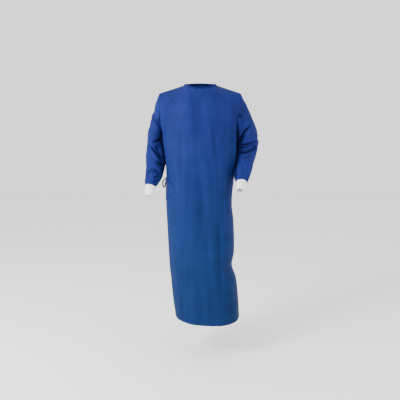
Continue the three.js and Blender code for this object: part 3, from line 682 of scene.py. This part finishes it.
def shell(node, grid, material, around=False, shade=None):
    """A thin wall of cloth whose outer face is the grid."""
    inner = grid - grid_normals(grid, around) * WALL
    return walled(node, grid, inner, material, around, shade=shade)


def swept(node, rings, material, sharp):
    """A solid tape whose closed cross-sections are given in order, with capped ends."""
    lines, count = rings.shape[:2]
    j, i = np.meshgrid(np.arange(lines - 1), np.arange(count), indexing="ij")
    a, b = j * count + i, j * count + (i + 1) % count
    faces = np.stack([a, b, b + count, a + count], -1).reshape(-1, 4).tolist()
    faces.append(list(range(count))[::-1])
    faces.append([(lines - 1) * count + k for k in range(count)])
    uv = grid_uv(rings, True)
    obj = mesh_object(node, rings.reshape(-1, 3), faces, uv, material, sharp)
    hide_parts(node)
    return obj


def stitches(key, paths, material):
    """Rows of short raised threads along lines on the cloth; each path is points and normals."""
    points, faces = [], []
    for line, normals in paths:
        run = distances(line)
        starts = np.arange(STITCH_GAP, run[-1] - STITCH_LENGTH, STITCH_LENGTH + STITCH_GAP)
        first = interpolated(starts, run, line)
        last = interpolated(starts + STITCH_LENGTH, run, line)
        up = unit(interpolated(starts + STITCH_LENGTH / 2, run, normals))
        side = np.cross(unit(last - first), up) * STITCH_WIDTH / 2
        low = up * -STITCH_SUNK
        middle = (first + last) / 2
        top = middle + up * STITCH_RISE
        threads = [
            first + side + low,
            first - side + low,
            top - side,
            top + side,
            last + side + low,
            last - side + low,
            middle + low * 2,
        ]
        for thread in np.stack(threads, 1):
            n = len(points)
            points.extend(thread)
            faces.extend([n + k for k in face] for face in STITCH_FACES)
    uv = np.zeros((len(points), 2))
    return mesh_object(f"{key}_stitches", np.array(points), faces, uv, material, 80)


# Materials


def new_surface(name):
    """A material, its nodes and its shader."""
    material = bpy.data.materials.new(name)
    material.use_nodes = True
    tree = material.node_tree
    return material, tree, tree.nodes["Principled BSDF"]


def fill(tree, node, inputs):
    """Gives each input a plain value or the output of another node."""
    for key, value in inputs.items():
        if isinstance(value, bpy.types.NodeSocket):
            tree.links.new(value, node.inputs[key])
        else:
            node.inputs[key].default_value = value


def add_node(tree, kind, inputs, output=0):
    node = tree.nodes.new(kind)
    fill(tree, node, inputs)
    return node.outputs[output]


def noise_value(tree, vector, scale, detail, stretch=(1, 1, 1)):
    stretched = add_node(tree, "ShaderNodeMapping", {"Scale": stretch, "Vector": vector})
    inputs = {"Scale": scale, "Detail": detail, "Vector": stretched}
    return add_node(tree, "ShaderNodeTexNoise", inputs, "Fac")


def bump(tree, height, strength, distance, before=None):
    inputs = {"Strength": strength, "Distance": distance, "Height": height}
    if before is not None:
        inputs["Normal"] = before
    return add_node(tree, "ShaderNodeBump", inputs)


def mixed_color(tree, factor, first, second):
    node = tree.nodes.new("ShaderNodeMix")
    node.data_type = "RGBA"
    fill(tree, node, {0: factor, 6: first, 7: second})
    return node.outputs[2]


def span(tree, value, low, high, to_low=0.0, to_high=1.0):
    """A value taken from one range to another."""
    inputs = {"From Min": low, "From Max": high, "To Min": to_low, "To Max": to_high, "Value": value}
    return add_node(tree, "ShaderNodeMapRange", inputs)


def tinted(tree, color, factor):
    """A colour made brighter or darker by a factor."""
    return add_node(tree, "ShaderNodeHueSaturation", {"Color": color, "Value": factor})


def cloth_material(name, upper, lower, roughness=0.62):
    """Nonwoven cloth with fine pressed dots and faint streaks, and shade painted into its creases.

    Its colour runs from one blue at the shoulders to another at the hem, and painted shade darkens it
    towards the hem.
    """
    material, tree, surface = new_surface(name)
    place = tree.nodes.new("ShaderNodeTexCoord").outputs
    patchy = noise_value(tree, place["Object"], 9, 3)
    streaks = noise_value(tree, place["Object"], 34, 3, (1, 1, 0.05))
    grain = noise_value(tree, place["Object"], 190, 2)
    fibres = noise_value(tree, place["UV"], 420, 4, (1, 0.35, 1))
    crumple = noise_value(tree, place["Object"], 26, 4, (1, 1, 0.45))
    inputs = {"Scale": 620, "Randomness": 0.25, "Vector": place["UV"]}
    dots = add_node(tree, "ShaderNodeTexVoronoi", inputs, "Distance")
    height = add_node(tree, "ShaderNodeSeparateXYZ", {"Vector": place["Object"]}, "Z")
    crease_shade = tree.nodes.new("ShaderNodeAttribute")
    crease_shade.attribute_name = "crease_shade"

    color = mixed_color(tree, span(tree, height, -1.0, -0.2), lower, upper)
    # Painted shade: the colour is darkened towards black in the creases
    dark = span(tree, crease_shade.outputs["Fac"], 0, 1, 0, PAINTED_CREASE_SHADE)
    color = mixed_color(tree, dark, color, BLACK)
    # Painted shade: the cloth is darker towards the hem
    color = tinted(tree, color, span(tree, height, -1.3, -0.9, 0.86, 1))
    for texture, amount in ((patchy, 0.09), (streaks, 0.11), (grain, 0.09), (fibres, 0.07)):
        color = tinted(tree, color, span(tree, texture, 0.3, 0.7, 1 - amount, 1 + amount))
    normal = bump(tree, crumple, 0.35, 0.004)
    normal = bump(tree, dots, 0.25, 0.0003, normal)
    normal = bump(tree, fibres, 0.2, 0.0002, normal)
    inputs = {
        "Base Color": color,
        "Normal": normal,
        "Roughness": roughness,
        "Specular IOR Level": 0.05,
        "Sheen Weight": 0.01,
        "Sheen Roughness": 0.5,
        "Sheen Tint": (0.2, 0.5, 1, 1),
    }
    fill(tree, surface, inputs)
    return material


def knit_material(name, base):
    """White rib knit with small rows of stitches."""
    material, tree, surface = new_surface(name)
    place = tree.nodes.new("ShaderNodeTexCoord").outputs
    wave = tree.nodes.new("ShaderNodeTexWave")
    wave.bands_direction = "Y"
    fill(tree, wave, {"Scale": 190, "Distortion": 1.2, "Detail Scale": 2, "Vector": place["UV"]})
    fuzz = noise_value(tree, place["Object"], 900, 3)
    inputs = {
        "Base Color": tinted(tree, base, span(tree, fuzz, 0.3, 0.7, 0.95, 1.04)),
        "Normal": bump(tree, fuzz, 0.3, 0.0003, bump(tree, wave.outputs["Fac"], 0.5, 0.0006)),
        "Roughness": 0.9,
        "Specular IOR Level": 0.2,
        "Sheen Weight": 0.2,
    }
    fill(tree, surface, inputs)
    return material


def thread_material(name, base):
    material, tree, surface = new_surface(name)
    place = tree.nodes.new("ShaderNodeTexCoord").outputs
    fuzz = noise_value(tree, place["Object"], 1500, 2)
    color = tinted(tree, base, span(tree, fuzz, 0.3, 0.7, 0.9, 1.1))
    fill(tree, surface, {"Base Color": color, "Roughness": 0.7})
    return material


# Pieces


def border_turns(reach):
    """Turns away from a side seam in even steps, with close ones beside the seam."""
    even = np.linspace(0, reach, int(round(reach / TURN_STEP)) + 1)
    return np.concatenate([[0, *CLOSE_TURNS], even[1:]])


def eased(grid, turns, rise):
    """Spreads the bend that runs down from the neck points, but not at the upper edge itself."""
    near = 1 - smoothstep(np.abs(from_side(turns) - NECK_POINT_TURN), 6, 18)
    weight = (near * smoothstep(1 - rise, 0, 0.12) * 0.5)[:, 1:-1, None]
    for _ in range(EASE_PASSES):
        middle = (grid[:, :-2] + grid[:, 2:]) / 2
        grid[:, 1:-1] += (middle - grid[:, 1:-1]) * weight
    return grid


def body_grid(turns_at, half):
    """The plain form of a panel, its turns and its rises, which are 0 up to the underarm."""
    hem = HEM_Z + np.array([0, 1.2, 3.5, 7, 10.5, HEM_FOLD - 0.9, HEM_FOLD + 0.6, HEM_FOLD + 3])
    count = int((UNDERARM_Z - hem[-1]) / ROW_STEP)
    lower = np.concatenate([hem, np.linspace(hem[-1], UNDERARM_Z, count + 1)[1:]])
    upper = np.concatenate([np.linspace(0, 1, 70)[1:-1], [0.9905, 0.9955, 1]])
    z = np.concatenate([lower, UNDERARM_Z * (1 - upper)])
    turns = np.stack([turns_at(height) for height in z])
    below = section_point(turns[: len(lower)], lower[:, None])
    above = upper_point(turns[len(lower) :], upper[:, None], half)
    above = eased(above, turns[len(lower) :], upper[:, None])
    rise = np.concatenate([np.zeros(len(lower)), upper])
    return np.concatenate([below, above]), turns, rise[:, None] + np.zeros_like(turns)


def border_distance(grid, first, last):
    """Distance in millimetres from the upper edge and from the sewn sides of a panel."""
    across, up = distances(grid, 1), distances(grid, 0)
    found = up[-1:] - up
    if first:
        found = np.minimum(found, across)
    if last:
        found = np.minimum(found, across[:, -1:] - across)
    return found


def draped(turns_at, half, folds, first=True, last=True):
    """A panel with folds, small unevenness, seams and hem: points, normals, shade and turns.

    First and last say whether the panel's first and last columns are sewn to another panel.
    """
    grid, turns, rise = body_grid(turns_at, half)
    distance = border_distance(grid, first, last)
    normals = grid_normals(grid, False)
    away = from_side(turns)
    seed = BODY_SEEDS[half]
    depth, shade = fold_depth(folds, grid[..., 0], grid[..., 2])
    fade = smoothstep(away, 2, 20) * (1 - smoothstep(rise, 0.78, 1))
    soft = ripple(grid, (75, 75, 260), seed) * BODY_SWELL
    soft += ripple(grid, (34, 34, 110), seed + 11.3) * BODY_RUMPLE
    soft *= smoothstep(away, 1, 16) * (1 - smoothstep(rise, 0.7, 1)) * smoothstep(distance, 0, 25)
    pucker = ripple(grid, 9, seed + 4.7) * SEAM_PUCKER * np.exp(-distance / 9)
    height = grid[..., 2] + HEM_FRONT_DROP * np.maximum(np.sin(np.radians(turns)), 0) - HEM_Z
    hem = HEM_RAISE * (1 - smoothstep(height, HEM_FOLD - 1, HEM_FOLD + 0.8)) * (rise == 0)
    lift = soft - depth * fade + seam_groove(distance) + pucker * (distance > 0.5) + hem
    return grid + normals * lift[..., None], normals, shade * fade * BODY_SHADE, turns


def outer_lift(turns, edge=None):
    """How far the outer layer stands off the inner one; it settles towards its free edge."""
    lift = LAYER_LIFT * (1 - smoothstep(turns, LIFT_END_TURN, LIFT_START_TURN))
    if edge is None:
        return lift
    return lift - (LAYER_LIFT - EDGE_LIFT) * (1 - smoothstep(turns - edge, 0, 16))


def stitch_line(grid, normals, *place):
    """Where a line of stitches runs: one row or column of a grid, and its normals."""
    return grid[place], normals[place]


def make_front(blue):
    side = border_turns(90)
    turns = np.concatenate([180 - side, side[::-1][1:]])
    grid, normals, shade, _ = draped(lambda z: turns, "front", FRONT_FOLDS)
    return shell("front", grid, blue, shade=shade), [stitch_line(grid, normals, HEM_STITCH_ROW)]


def make_back_left(blue):
    """The outer layer of the back, whose last column is its free edge."""

    def turns_at(z):
        edge = curves(OUTER_EDGE, z)[0]
        return np.concatenate([360 - border_turns(60), np.linspace(300, edge, 88)[1:]])

    grid, normals, shade, turns = draped(turns_at, "back", BACK_FOLDS, last=False)
    grid = grid + out_way(grid) * outer_lift(turns, turns[:, -1:])[..., None]
    hem = stitch_line(grid, normals, HEM_STITCH_ROW)
    edge = stitch_line(grid, grid_normals(grid, False), slice(2, -3), -5)
    return shell("back_left", grid, blue, shade=shade), [hem, edge]


def make_back_right(blue):
    """The inner layer of the back, whose first column is its free edge."""

    def turns_at(z):
        edge = curves(INNER_EDGE, z)[0]
        return np.concatenate([np.linspace(edge, 232, 44)[:-1], (180 + border_turns(52))[::-1]])

    grid, normals, shade, _ = draped(turns_at, "back", BACK_FOLDS, first=False)
    return shell("back_right", grid, blue, shade=shade), [stitch_line(grid, normals, HEM_STITCH_ROW)]


def make_tab(blue):
    """The corner of the outer layer that the waist tie draws round to the front."""
    turns = np.linspace(TAB_START_TURN, TAB_END_TURN, 60)
    top, bottom = curves(TAB_EDGES, turns)
    grid = section_point(turns, bottom + (top - bottom) * np.linspace(0, 1, 34)[:, None])
    away = from_side(turns)
    depth = fold_depth(FRONT_FOLDS, grid[..., 0], grid[..., 2])[0] * smoothstep(away, 2, 20)
    pulls = ripple(grid, (60, 60, 14), 8.2) * 1.6 * smoothstep(away, 0, 14)
    grid = grid + grid_normals(grid, False) * (pulls - depth)[..., None] + out_way(grid) * TAB_LIFT
    normals = grid_normals(grid, False)
    lines = [stitch_line(grid, normals, row, slice(2, -2)) for row in (2, -3)]
    return shell("wrap_tab", grid, blue), lines


def make_binding(dark):
    """A folded tape round the neckline whose ends overlap at the back."""
    inner_end, outer_end = (neck_around(curves(edge, 0)[0]) for edge in (INNER_EDGE, OUTER_EDGE))
    arounds = np.linspace(inner_end, outer_end - 360, 200)
    middle = neckline(arounds)
    out = out_way(middle)
    tilt = unit(np.array([0, 0, BINDING_RISE]) - BINDING_LEAN * out)
    whole = arounds % 360
    turn = np.where(whole >= 180, 180, 0) + NECK_POINT_TURN
    turn = turn + (whole % 180) / 180 * (180 - 2 * NECK_POINT_TURN)
    middle = middle + out * np.where(arounds < 0, outer_lift(turn), 0)[:, None]
    face = np.cross(tilt, unit(np.gradient(middle, axis=0)))
    face *= np.sign((face * out).sum(-1, keepdims=True))
    middle = middle + face * ripple(middle, 16, 2.2)[:, None] * 0.5
    half = BINDING_WALL / 2
    top = BINDING_HEIGHT
    profile = [
        (0.1, half - 0.5), (0.2, half), (1.6, half + 0.25), (2.4, half - 0.1), (4.5, half + 0.2),
        (top - 1.6, half + 0.1), (top - 0.5, half * 0.6), (top, 0), (top - 0.5, -half * 0.6),
        (top - 1.6, -half), (2, -half), (0.1, -half + 0.4),
    ]
    rings = [middle + tilt * height + face * (aside - half + 0.4) for height, aside in profile[::-1]]
    obj = swept("neck_binding", np.stack(rings, 1), dark, 60)
    return obj, [(middle + tilt * 2.0 + face * 0.55, face)]


def sleeve_frame(side, points, at):
    """The way down a sleeve, and the ways out and forward across it."""
    along = spline_way(points, at)
    across = np.zeros_like(along)
    across[..., 0] = OUTWARD[side]
    across = unit(across - along * (across * along).sum(-1, keepdims=True))
    forward = unit(np.cross(along, across))
    return along, across, np.where(forward[..., 1:2] > 0, -forward, forward)


def sleeve_grid(side):
    """The plain form of a sleeve: a cap that starts at the armhole, and the free part."""
    table = np.array(SLEEVES[side], float)
    middles = table[:, :3]
    turns = SLEEVE_TURNS
    at = np.linspace(0, 1, 124)
    along, across, forward = sleeve_frame(side, middles, at)
    widths = [(place, *row[3:]) for place, row in enumerate(table)]
    wide, deep = curves(widths, at * (len(table) - 1))
    free = (
        spline(middles, at)[:, None]
        + across[:, None] * np.outer(wide, np.cos(turns))[..., None]
        + forward[:, None] * np.outer(deep, np.sin(turns))[..., None]
    )

    def between(under, cap):
        return under + (cap - under) * (1 + np.cos(turns)) / 2

    half = SLEEVE_AROUND // 2 + 1
    front = armhole_point(side, "front", np.linspace(1, 0, half))
    back = armhole_point(side, "back", np.linspace(0, 1, half))
    armhole = np.concatenate([front, back[1:-1]])
    flare = OUTWARD[side] * between(UNDERARM_FLARE, CAP_FLARE)
    start = unit(np.stack([flare, -SIDE_FLARE * np.sin(turns), np.full_like(turns, -CAP_FALL)], -1))
    start_pull = start * between(UNDERARM_START_PULL, CAP_START_PULL)[:, None]
    end_pull = along[0] * between(UNDERARM_END_PULL, CAP_END_PULL)[:, None]
    shares = np.concatenate([[0, 0.006, 0.014, 0.024], np.linspace(0.04, 1, 66)[:-1]])
    cap = hermite(armhole, start_pull, free[0], end_pull, shares[:, None, None])
    return np.concatenate([cap, free])


def sleeve_creases(side, grid, normals, down):
    """Depth and shade of a sleeve's folds: at the front from the front view, elsewhere by turn."""
    folds = np.array(SLEEVE_FOLDS[side], float)
    folds[:, [0, 2]] = np.radians(folds[:, [0, 2]]) * SLEEVE_FOLD_RADIUS
    x, z = np.meshgrid(SLEEVE_TURNS * SLEEVE_FOLD_RADIUS, down)
    full = 2 * math.pi * SLEEVE_FOLD_RADIUS
    depth, shade = np.sum([fold_depth(folds, x + shift, z) for shift in (-full, 0, full)], 0)
    view = grid[..., 0], grid[..., 2]
    front_depth, front_shade = fold_depth(SLEEVE_FRONT_FOLDS[side], *view, SLEEVE_STEEP)
    low = -0.1 - 0.45 * smoothstep(normals[..., 0] * OUTWARD[side], -0.2, 0.3)
    facing = np.clip((-normals[..., 1] - low) / 0.45, 0, 1)
    depth = depth * (1 - facing) + front_depth * facing
    shade = shade * (1 - facing) + front_shade * facing
    # Painted shade between the sleeve and the body, which does not dent the cloth
    sleeve_body_shade = fold_depth(SLEEVE_PAINTED_SHADE[side], *view)[1]
    return depth, np.maximum(shade, sleeve_body_shade * smoothstep(-normals[..., 1], -0.5, 0))


def make_sleeve(side, blue):
    """A set-in sleeve, crumpled at the elbow and gathered into its cuff."""
    grid = sleeve_grid(side)
    inward = faces_in(grid)
    normals = grid_normals(grid, True) * (-1 if inward else 1)
    down = distances(grid[:, [0, SLEEVE_AROUND // 4]]).mean(1)
    depth, shade = sleeve_creases(side, grid, normals, down)
    down = down[:, None]
    to_go = down[-1] - down
    fade = smoothstep(down, 4, 34) * smoothstep(to_go, 2, 24)
    seed = SLEEVE_SEEDS[side]
    soft = ripple(grid, 60, seed) * SLEEVE_SWELL
    soft += ripple(grid, (24, 24, 30), seed + 3) * SLEEVE_RUMPLE
    turns = SLEEVE_TURNS
    uneven = ripple(grid * [1, 1, 0.15], 30, seed + 7)
    gathers = np.sin(turns * 17 + uneven * 2.4) * 1.5 + np.sin(turns * 29 + uneven * 4) * 0.7
    gathers = gathers * np.exp(-to_go / 30) * smoothstep(to_go, -4, 6)
    cap_gathers = np.sin(turns * 34 + uneven * 4) * 0.35 * np.exp(-down / 10)
    lift = (soft - depth) * fade + gathers + cap_gathers + seam_groove(down)
    lift -= 1.2 * np.exp(-((to_go / 2) ** 2))
    shaped = grid + normals * lift[..., None]
    shade = shade * fade
    seam = shaped[0]
    head = seam + unit(seam.mean(0) - seam) * 1.6 - np.array([OUTWARD[side] * 2.2, 0, 0])
    shaped, shade = np.concatenate([head[None], shaped]), np.concatenate([shade[:1], shade])
    if inward:
        shaped, shade = shaped[:, ::-1], shade[:, ::-1]
    return shell(f"sleeve_{side}", shaped, blue, around=True, shade=shade)


def make_cuff(side, white):
    """A knitted cuff with raised ribs and a rounded edge at the hand."""
    middles = np.array(SLEEVES[side], float)[:, :3]
    first_along, first_across, _ = (way[0] for way in sleeve_frame(side, middles, np.array([1.0])))
    *end, end_radius = CUFF_ENDS[side]
    start = middles[-1] - first_along * 1.5
    whole = np.array(end) - start
    turns = np.linspace(0, 2 * math.pi, CUFF_RIBS * 6, endpoint=False)
    share = np.concatenate([[0, 0.02, 0.05], np.linspace(0.1, 0.93, 22), [0.96, 0.985, 1]])[:, None]
    along = unit(first_along + (unit(whole) - first_along) * share)
    across = unit(first_across - along * (along @ first_across)[:, None])
    forward = np.cross(along, across)
    middle = (start + whole * share)[:, None]
    ring = across[:, None] * np.cos(turns)[:, None] + forward[:, None] * np.sin(turns)[:, None]
    radius = CUFF_START_RADIUS + (end_radius - CUFF_START_RADIUS) * share
    radius = radius + 0.8 * np.sin(share * 2.6 + 0.4) * (1 - share)
    wobble = 0.5 * np.sin(turns * 3 + share * 5) + 0.35 * np.sin(turns * 5 - share * 7)
    edge = np.minimum(1, (1 - share) / 0.05)
    ribs = RIB_HEIGHT * (0.5 + 0.5 * np.cos(turns * CUFF_RIBS)) ** 0.7
    outer_reach = radius + ribs * (0.35 + 0.65 * edge) + wobble - 0.8 * (1 - edge)
    inner_reach = radius - CUFF_WALL + 0.8 * (1 - edge) + wobble
    outer, inner = middle + ring * outer_reach[..., None], middle + ring * inner_reach[..., None]
    if faces_in(outer):
        outer, inner = outer[:, ::-1], inner[:, ::-1]
    return walled(f"cuff_{side}", outer, inner, white, True, 75)


def make_strip(node, route, wide_way, dark, count=70):
    """A soft folded tape along a smooth route, and its length in metres."""
    line = spline(route, np.linspace(0, 1, 6 * count))
    run = distances(line)
    line = interpolated(np.linspace(0, run[-1], count), run, line)
    along = unit(np.gradient(line, axis=0))
    side = unit(wide_way - along * (along @ wide_way)[:, None])
    face = np.cross(along, side)
    line = line + face * ripple(line, 22, 6.1)[:, None] * 0.8
    half, thick = TIE_WIDTH / 2, TIE_WALL / 2
    profile = [
        (-half, 0), (-half + 0.4, -thick), (-half * 0.4, -thick + 0.25), (half * 0.4, -thick + 0.2),
        (half - 0.4, -thick), (half, 0), (half - 0.4, thick), (half * 0.4, thick + 0.2),
        (-half * 0.4, thick + 0.25), (-half + 0.4, thick),
    ]
    rings = [line + side * wide + face * deep for wide, deep in profile]
    return swept(node, np.stack(rings, 1), dark, 60), float(run[-1]) / 1000


def make_knot(node, middle, along, out, dark):
    """A small knot of tape, a rounded body with a wrap across it, and the length of its tape."""
    up = np.cross(along, out)
    around = np.linspace(0, 2 * math.pi, 48, endpoint=False)
    u, v = np.meshgrid(around, np.linspace(0.06, math.pi - 0.06, 26))
    wrap = 1.2 * np.exp(-((np.cos(v) / 0.38) ** 2))
    turns = 0.5 * np.cos(3 * u + 4 * v) + 0.35 * np.cos(5 * u - 3 * v)
    reach = KNOT_SIZE / 2 - 1.6 + wrap + turns * 0.7
    points = (
        middle
        + along * (reach * np.cos(v) * 0.95)[..., None]
        + out * (reach * np.sin(v) * np.cos(u) * 0.85)[..., None]
        + up * (reach * np.sin(v) * np.sin(u))[..., None]
    )
    if faces_in(points):
        points = points[::-1]
    return swept(node, points, dark, 70), KNOT_CUT_LENGTH


def make_bow(key, knot, along, out, halves, dark):
    """A knot, and for each half a loop and a tail with the ways of their width."""
    made = [make_knot(f"{key}_knot", knot, along, out, dark)]
    for half, (loop, loop_way, tail, tail_way) in halves.items():
        start, end, tail_start = (
            knot + unit(point - knot) * (KNOT_SIZE / 2 - KNOT_HOLD)
            for point in (loop[0], loop[-1], tail[0])
        )
        loop, tail = [start, *loop, end], [tail_start, *tail]
        made.append(make_strip(f"{key}_loop_{half}", np.array(loop), loop_way, dark))
        made.append(make_strip(f"{key}_tail_{half}", np.array(tail), tail_way, dark))
    return made


def make_neck_bow(dark):
    seat = LAYER_LIFT + 0.4 + KNOT_SIZE / 2 + NECK_KNOT_OUT
    knot = neckline(270.0) + np.array([0, seat, -NECK_KNOT_DROP])
    halves = {}
    for side in ("right", "left"):
        sign = OUTWARD[side]
        loop = [knot + np.array([sign * x, y, z]) for x, y, z in NECK_LOOP]
        tail = [upper_point(turn, rise, "back") for turn, rise in NECK_TAILS[side]]
        tail = [point + out_way(point) * (LAYER_LIFT + TAIL_CLEAR) for point in tail]
        halves[side] = loop, (0.4 * sign, 0, 0.9), tail, (1, 0, 0)
    return make_bow("neck", knot, np.array([1.0, 0, 0]), np.array([0, 1.0, 0]), halves, dark)


def make_waist_bow(dark):
    def on_body(turn, z, out):
        point = section_point(turn, z)
        return point + out_way(point) * (LAYER_LIFT + out)

    knot = on_body(WAIST_KNOT_TURN, WAIST_KNOT_Z, 0.4 + KNOT_SIZE / 2)
    close, far = (section_point(WAIST_KNOT_TURN + turn, WAIST_KNOT_Z) for turn in (3, 9))
    backward = unit(far - close)
    outward = out_way(knot)

    def by_knot(back, out, up):
        return knot + backward * back + outward * out + np.array([0, 0, up])

    halves = {}
    wide_ways = {"front": (0.8, 0.6, 0.1), "back": (backward[0] * 0.4, backward[1] * 0.4, 0.9)}
    for half, wide_way in wide_ways.items():
        loop = [by_knot(*place) for place in WAIST_LOOPS[half]]
        tail = [by_knot(*WAIST_TAIL_STARTS[half])] + [on_body(*place) for place in WAIST_TAILS[half]]
        halves[half] = loop, wide_way, tail, backward
    return make_bow("waist", knot, backward, outward, halves, dark)


# Scene


def placed(name, data, place, target):
    """An object at a place that looks at its target."""
    obj = bpy.data.objects.new(name, data)
    bpy.context.scene.collection.objects.link(obj)
    obj.location = place
    obj.rotation_euler = (Vector(target) - Vector(place)).to_track_quat("-Z", "Y").to_euler()
    return obj


def make_studio():
    scene = bpy.context.scene
    scene.world = bpy.data.worlds.new("studio")
    scene.world.use_nodes = True
    tree = scene.world.node_tree
    fill(tree, tree.nodes["Background"], {"Color": (1, 1, 1, 1), "Strength": SKY_STRENGTH})

    for name, (place, target, size, power, color) in LIGHTS.items():
        light = bpy.data.lights.new(name, "AREA")
        light.shape = "SQUARE"
        light.size = size
        light.energy = power
        light.color = color
        placed(name, light, place, target)

    mesh = bpy.data.meshes.new("floor")
    ends = [(-1, -1), (1, -1), (1, 1), (-1, 1)]
    mesh.from_pydata([(x * FLOOR_HALF, y * FLOOR_HALF, FLOOR_Z) for x, y in ends], [], [(0, 1, 2, 3)])
    floor = bpy.data.objects.new("floor", mesh)
    scene.collection.objects.link(floor)
    material, tree, surface = new_surface("pale_floor")
    fill(tree, surface, {"Base Color": (0.95, 0.95, 0.95, 1), "Roughness": 0.9})
    mesh.materials.append(material)

    camera = bpy.data.cameras.new("camera")
    camera.lens = CAMERA_LENS
    camera.sensor_width = 36
    scene.camera = placed("camera", camera, CAMERA_PLACE, CAMERA_TARGET)


def main():
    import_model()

    blue = cloth_material("gown_cloth", UPPER_BLUE, LOWER_BLUE)
    sleeve_blue = cloth_material("sleeve_cloth", SLEEVE_BLUE, SLEEVE_BLUE)
    dark = cloth_material("binding", TIE_BLUE, TIE_BLUE, 0.7)
    neck_dark = cloth_material("neck_binding", NECK_BLUE, NECK_BLUE, 0.7)
    white = knit_material("cuff_knit", KNIT_WHITE)
    thread = thread_material("thread", THREAD_BLUE)

    front, front_lines = make_front(blue)
    back_left, outer_lines = make_back_left(blue)
    back_right, inner_lines = make_back_right(blue)
    tab, tab_lines = make_tab(blue)
    binding, binding_lines = make_binding(neck_dark)

    seams = {
        "front": stitches("front", front_lines, thread),
        "back_left": stitches("back_left", outer_lines, thread),
        "back_right": stitches("back_right", inner_lines, thread),
        "tab": stitches("tab", tab_lines, thread),
        "binding": stitches("binding", binding_lines, thread),
    }
    for side in ("right", "left"):
        make_sleeve(side, sleeve_blue)
        make_cuff(side, white)
    for obj, length in make_neck_bow(dark) + make_waist_bow(dark):
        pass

    make_studio()
    bpy.context.view_layer.update()


main()
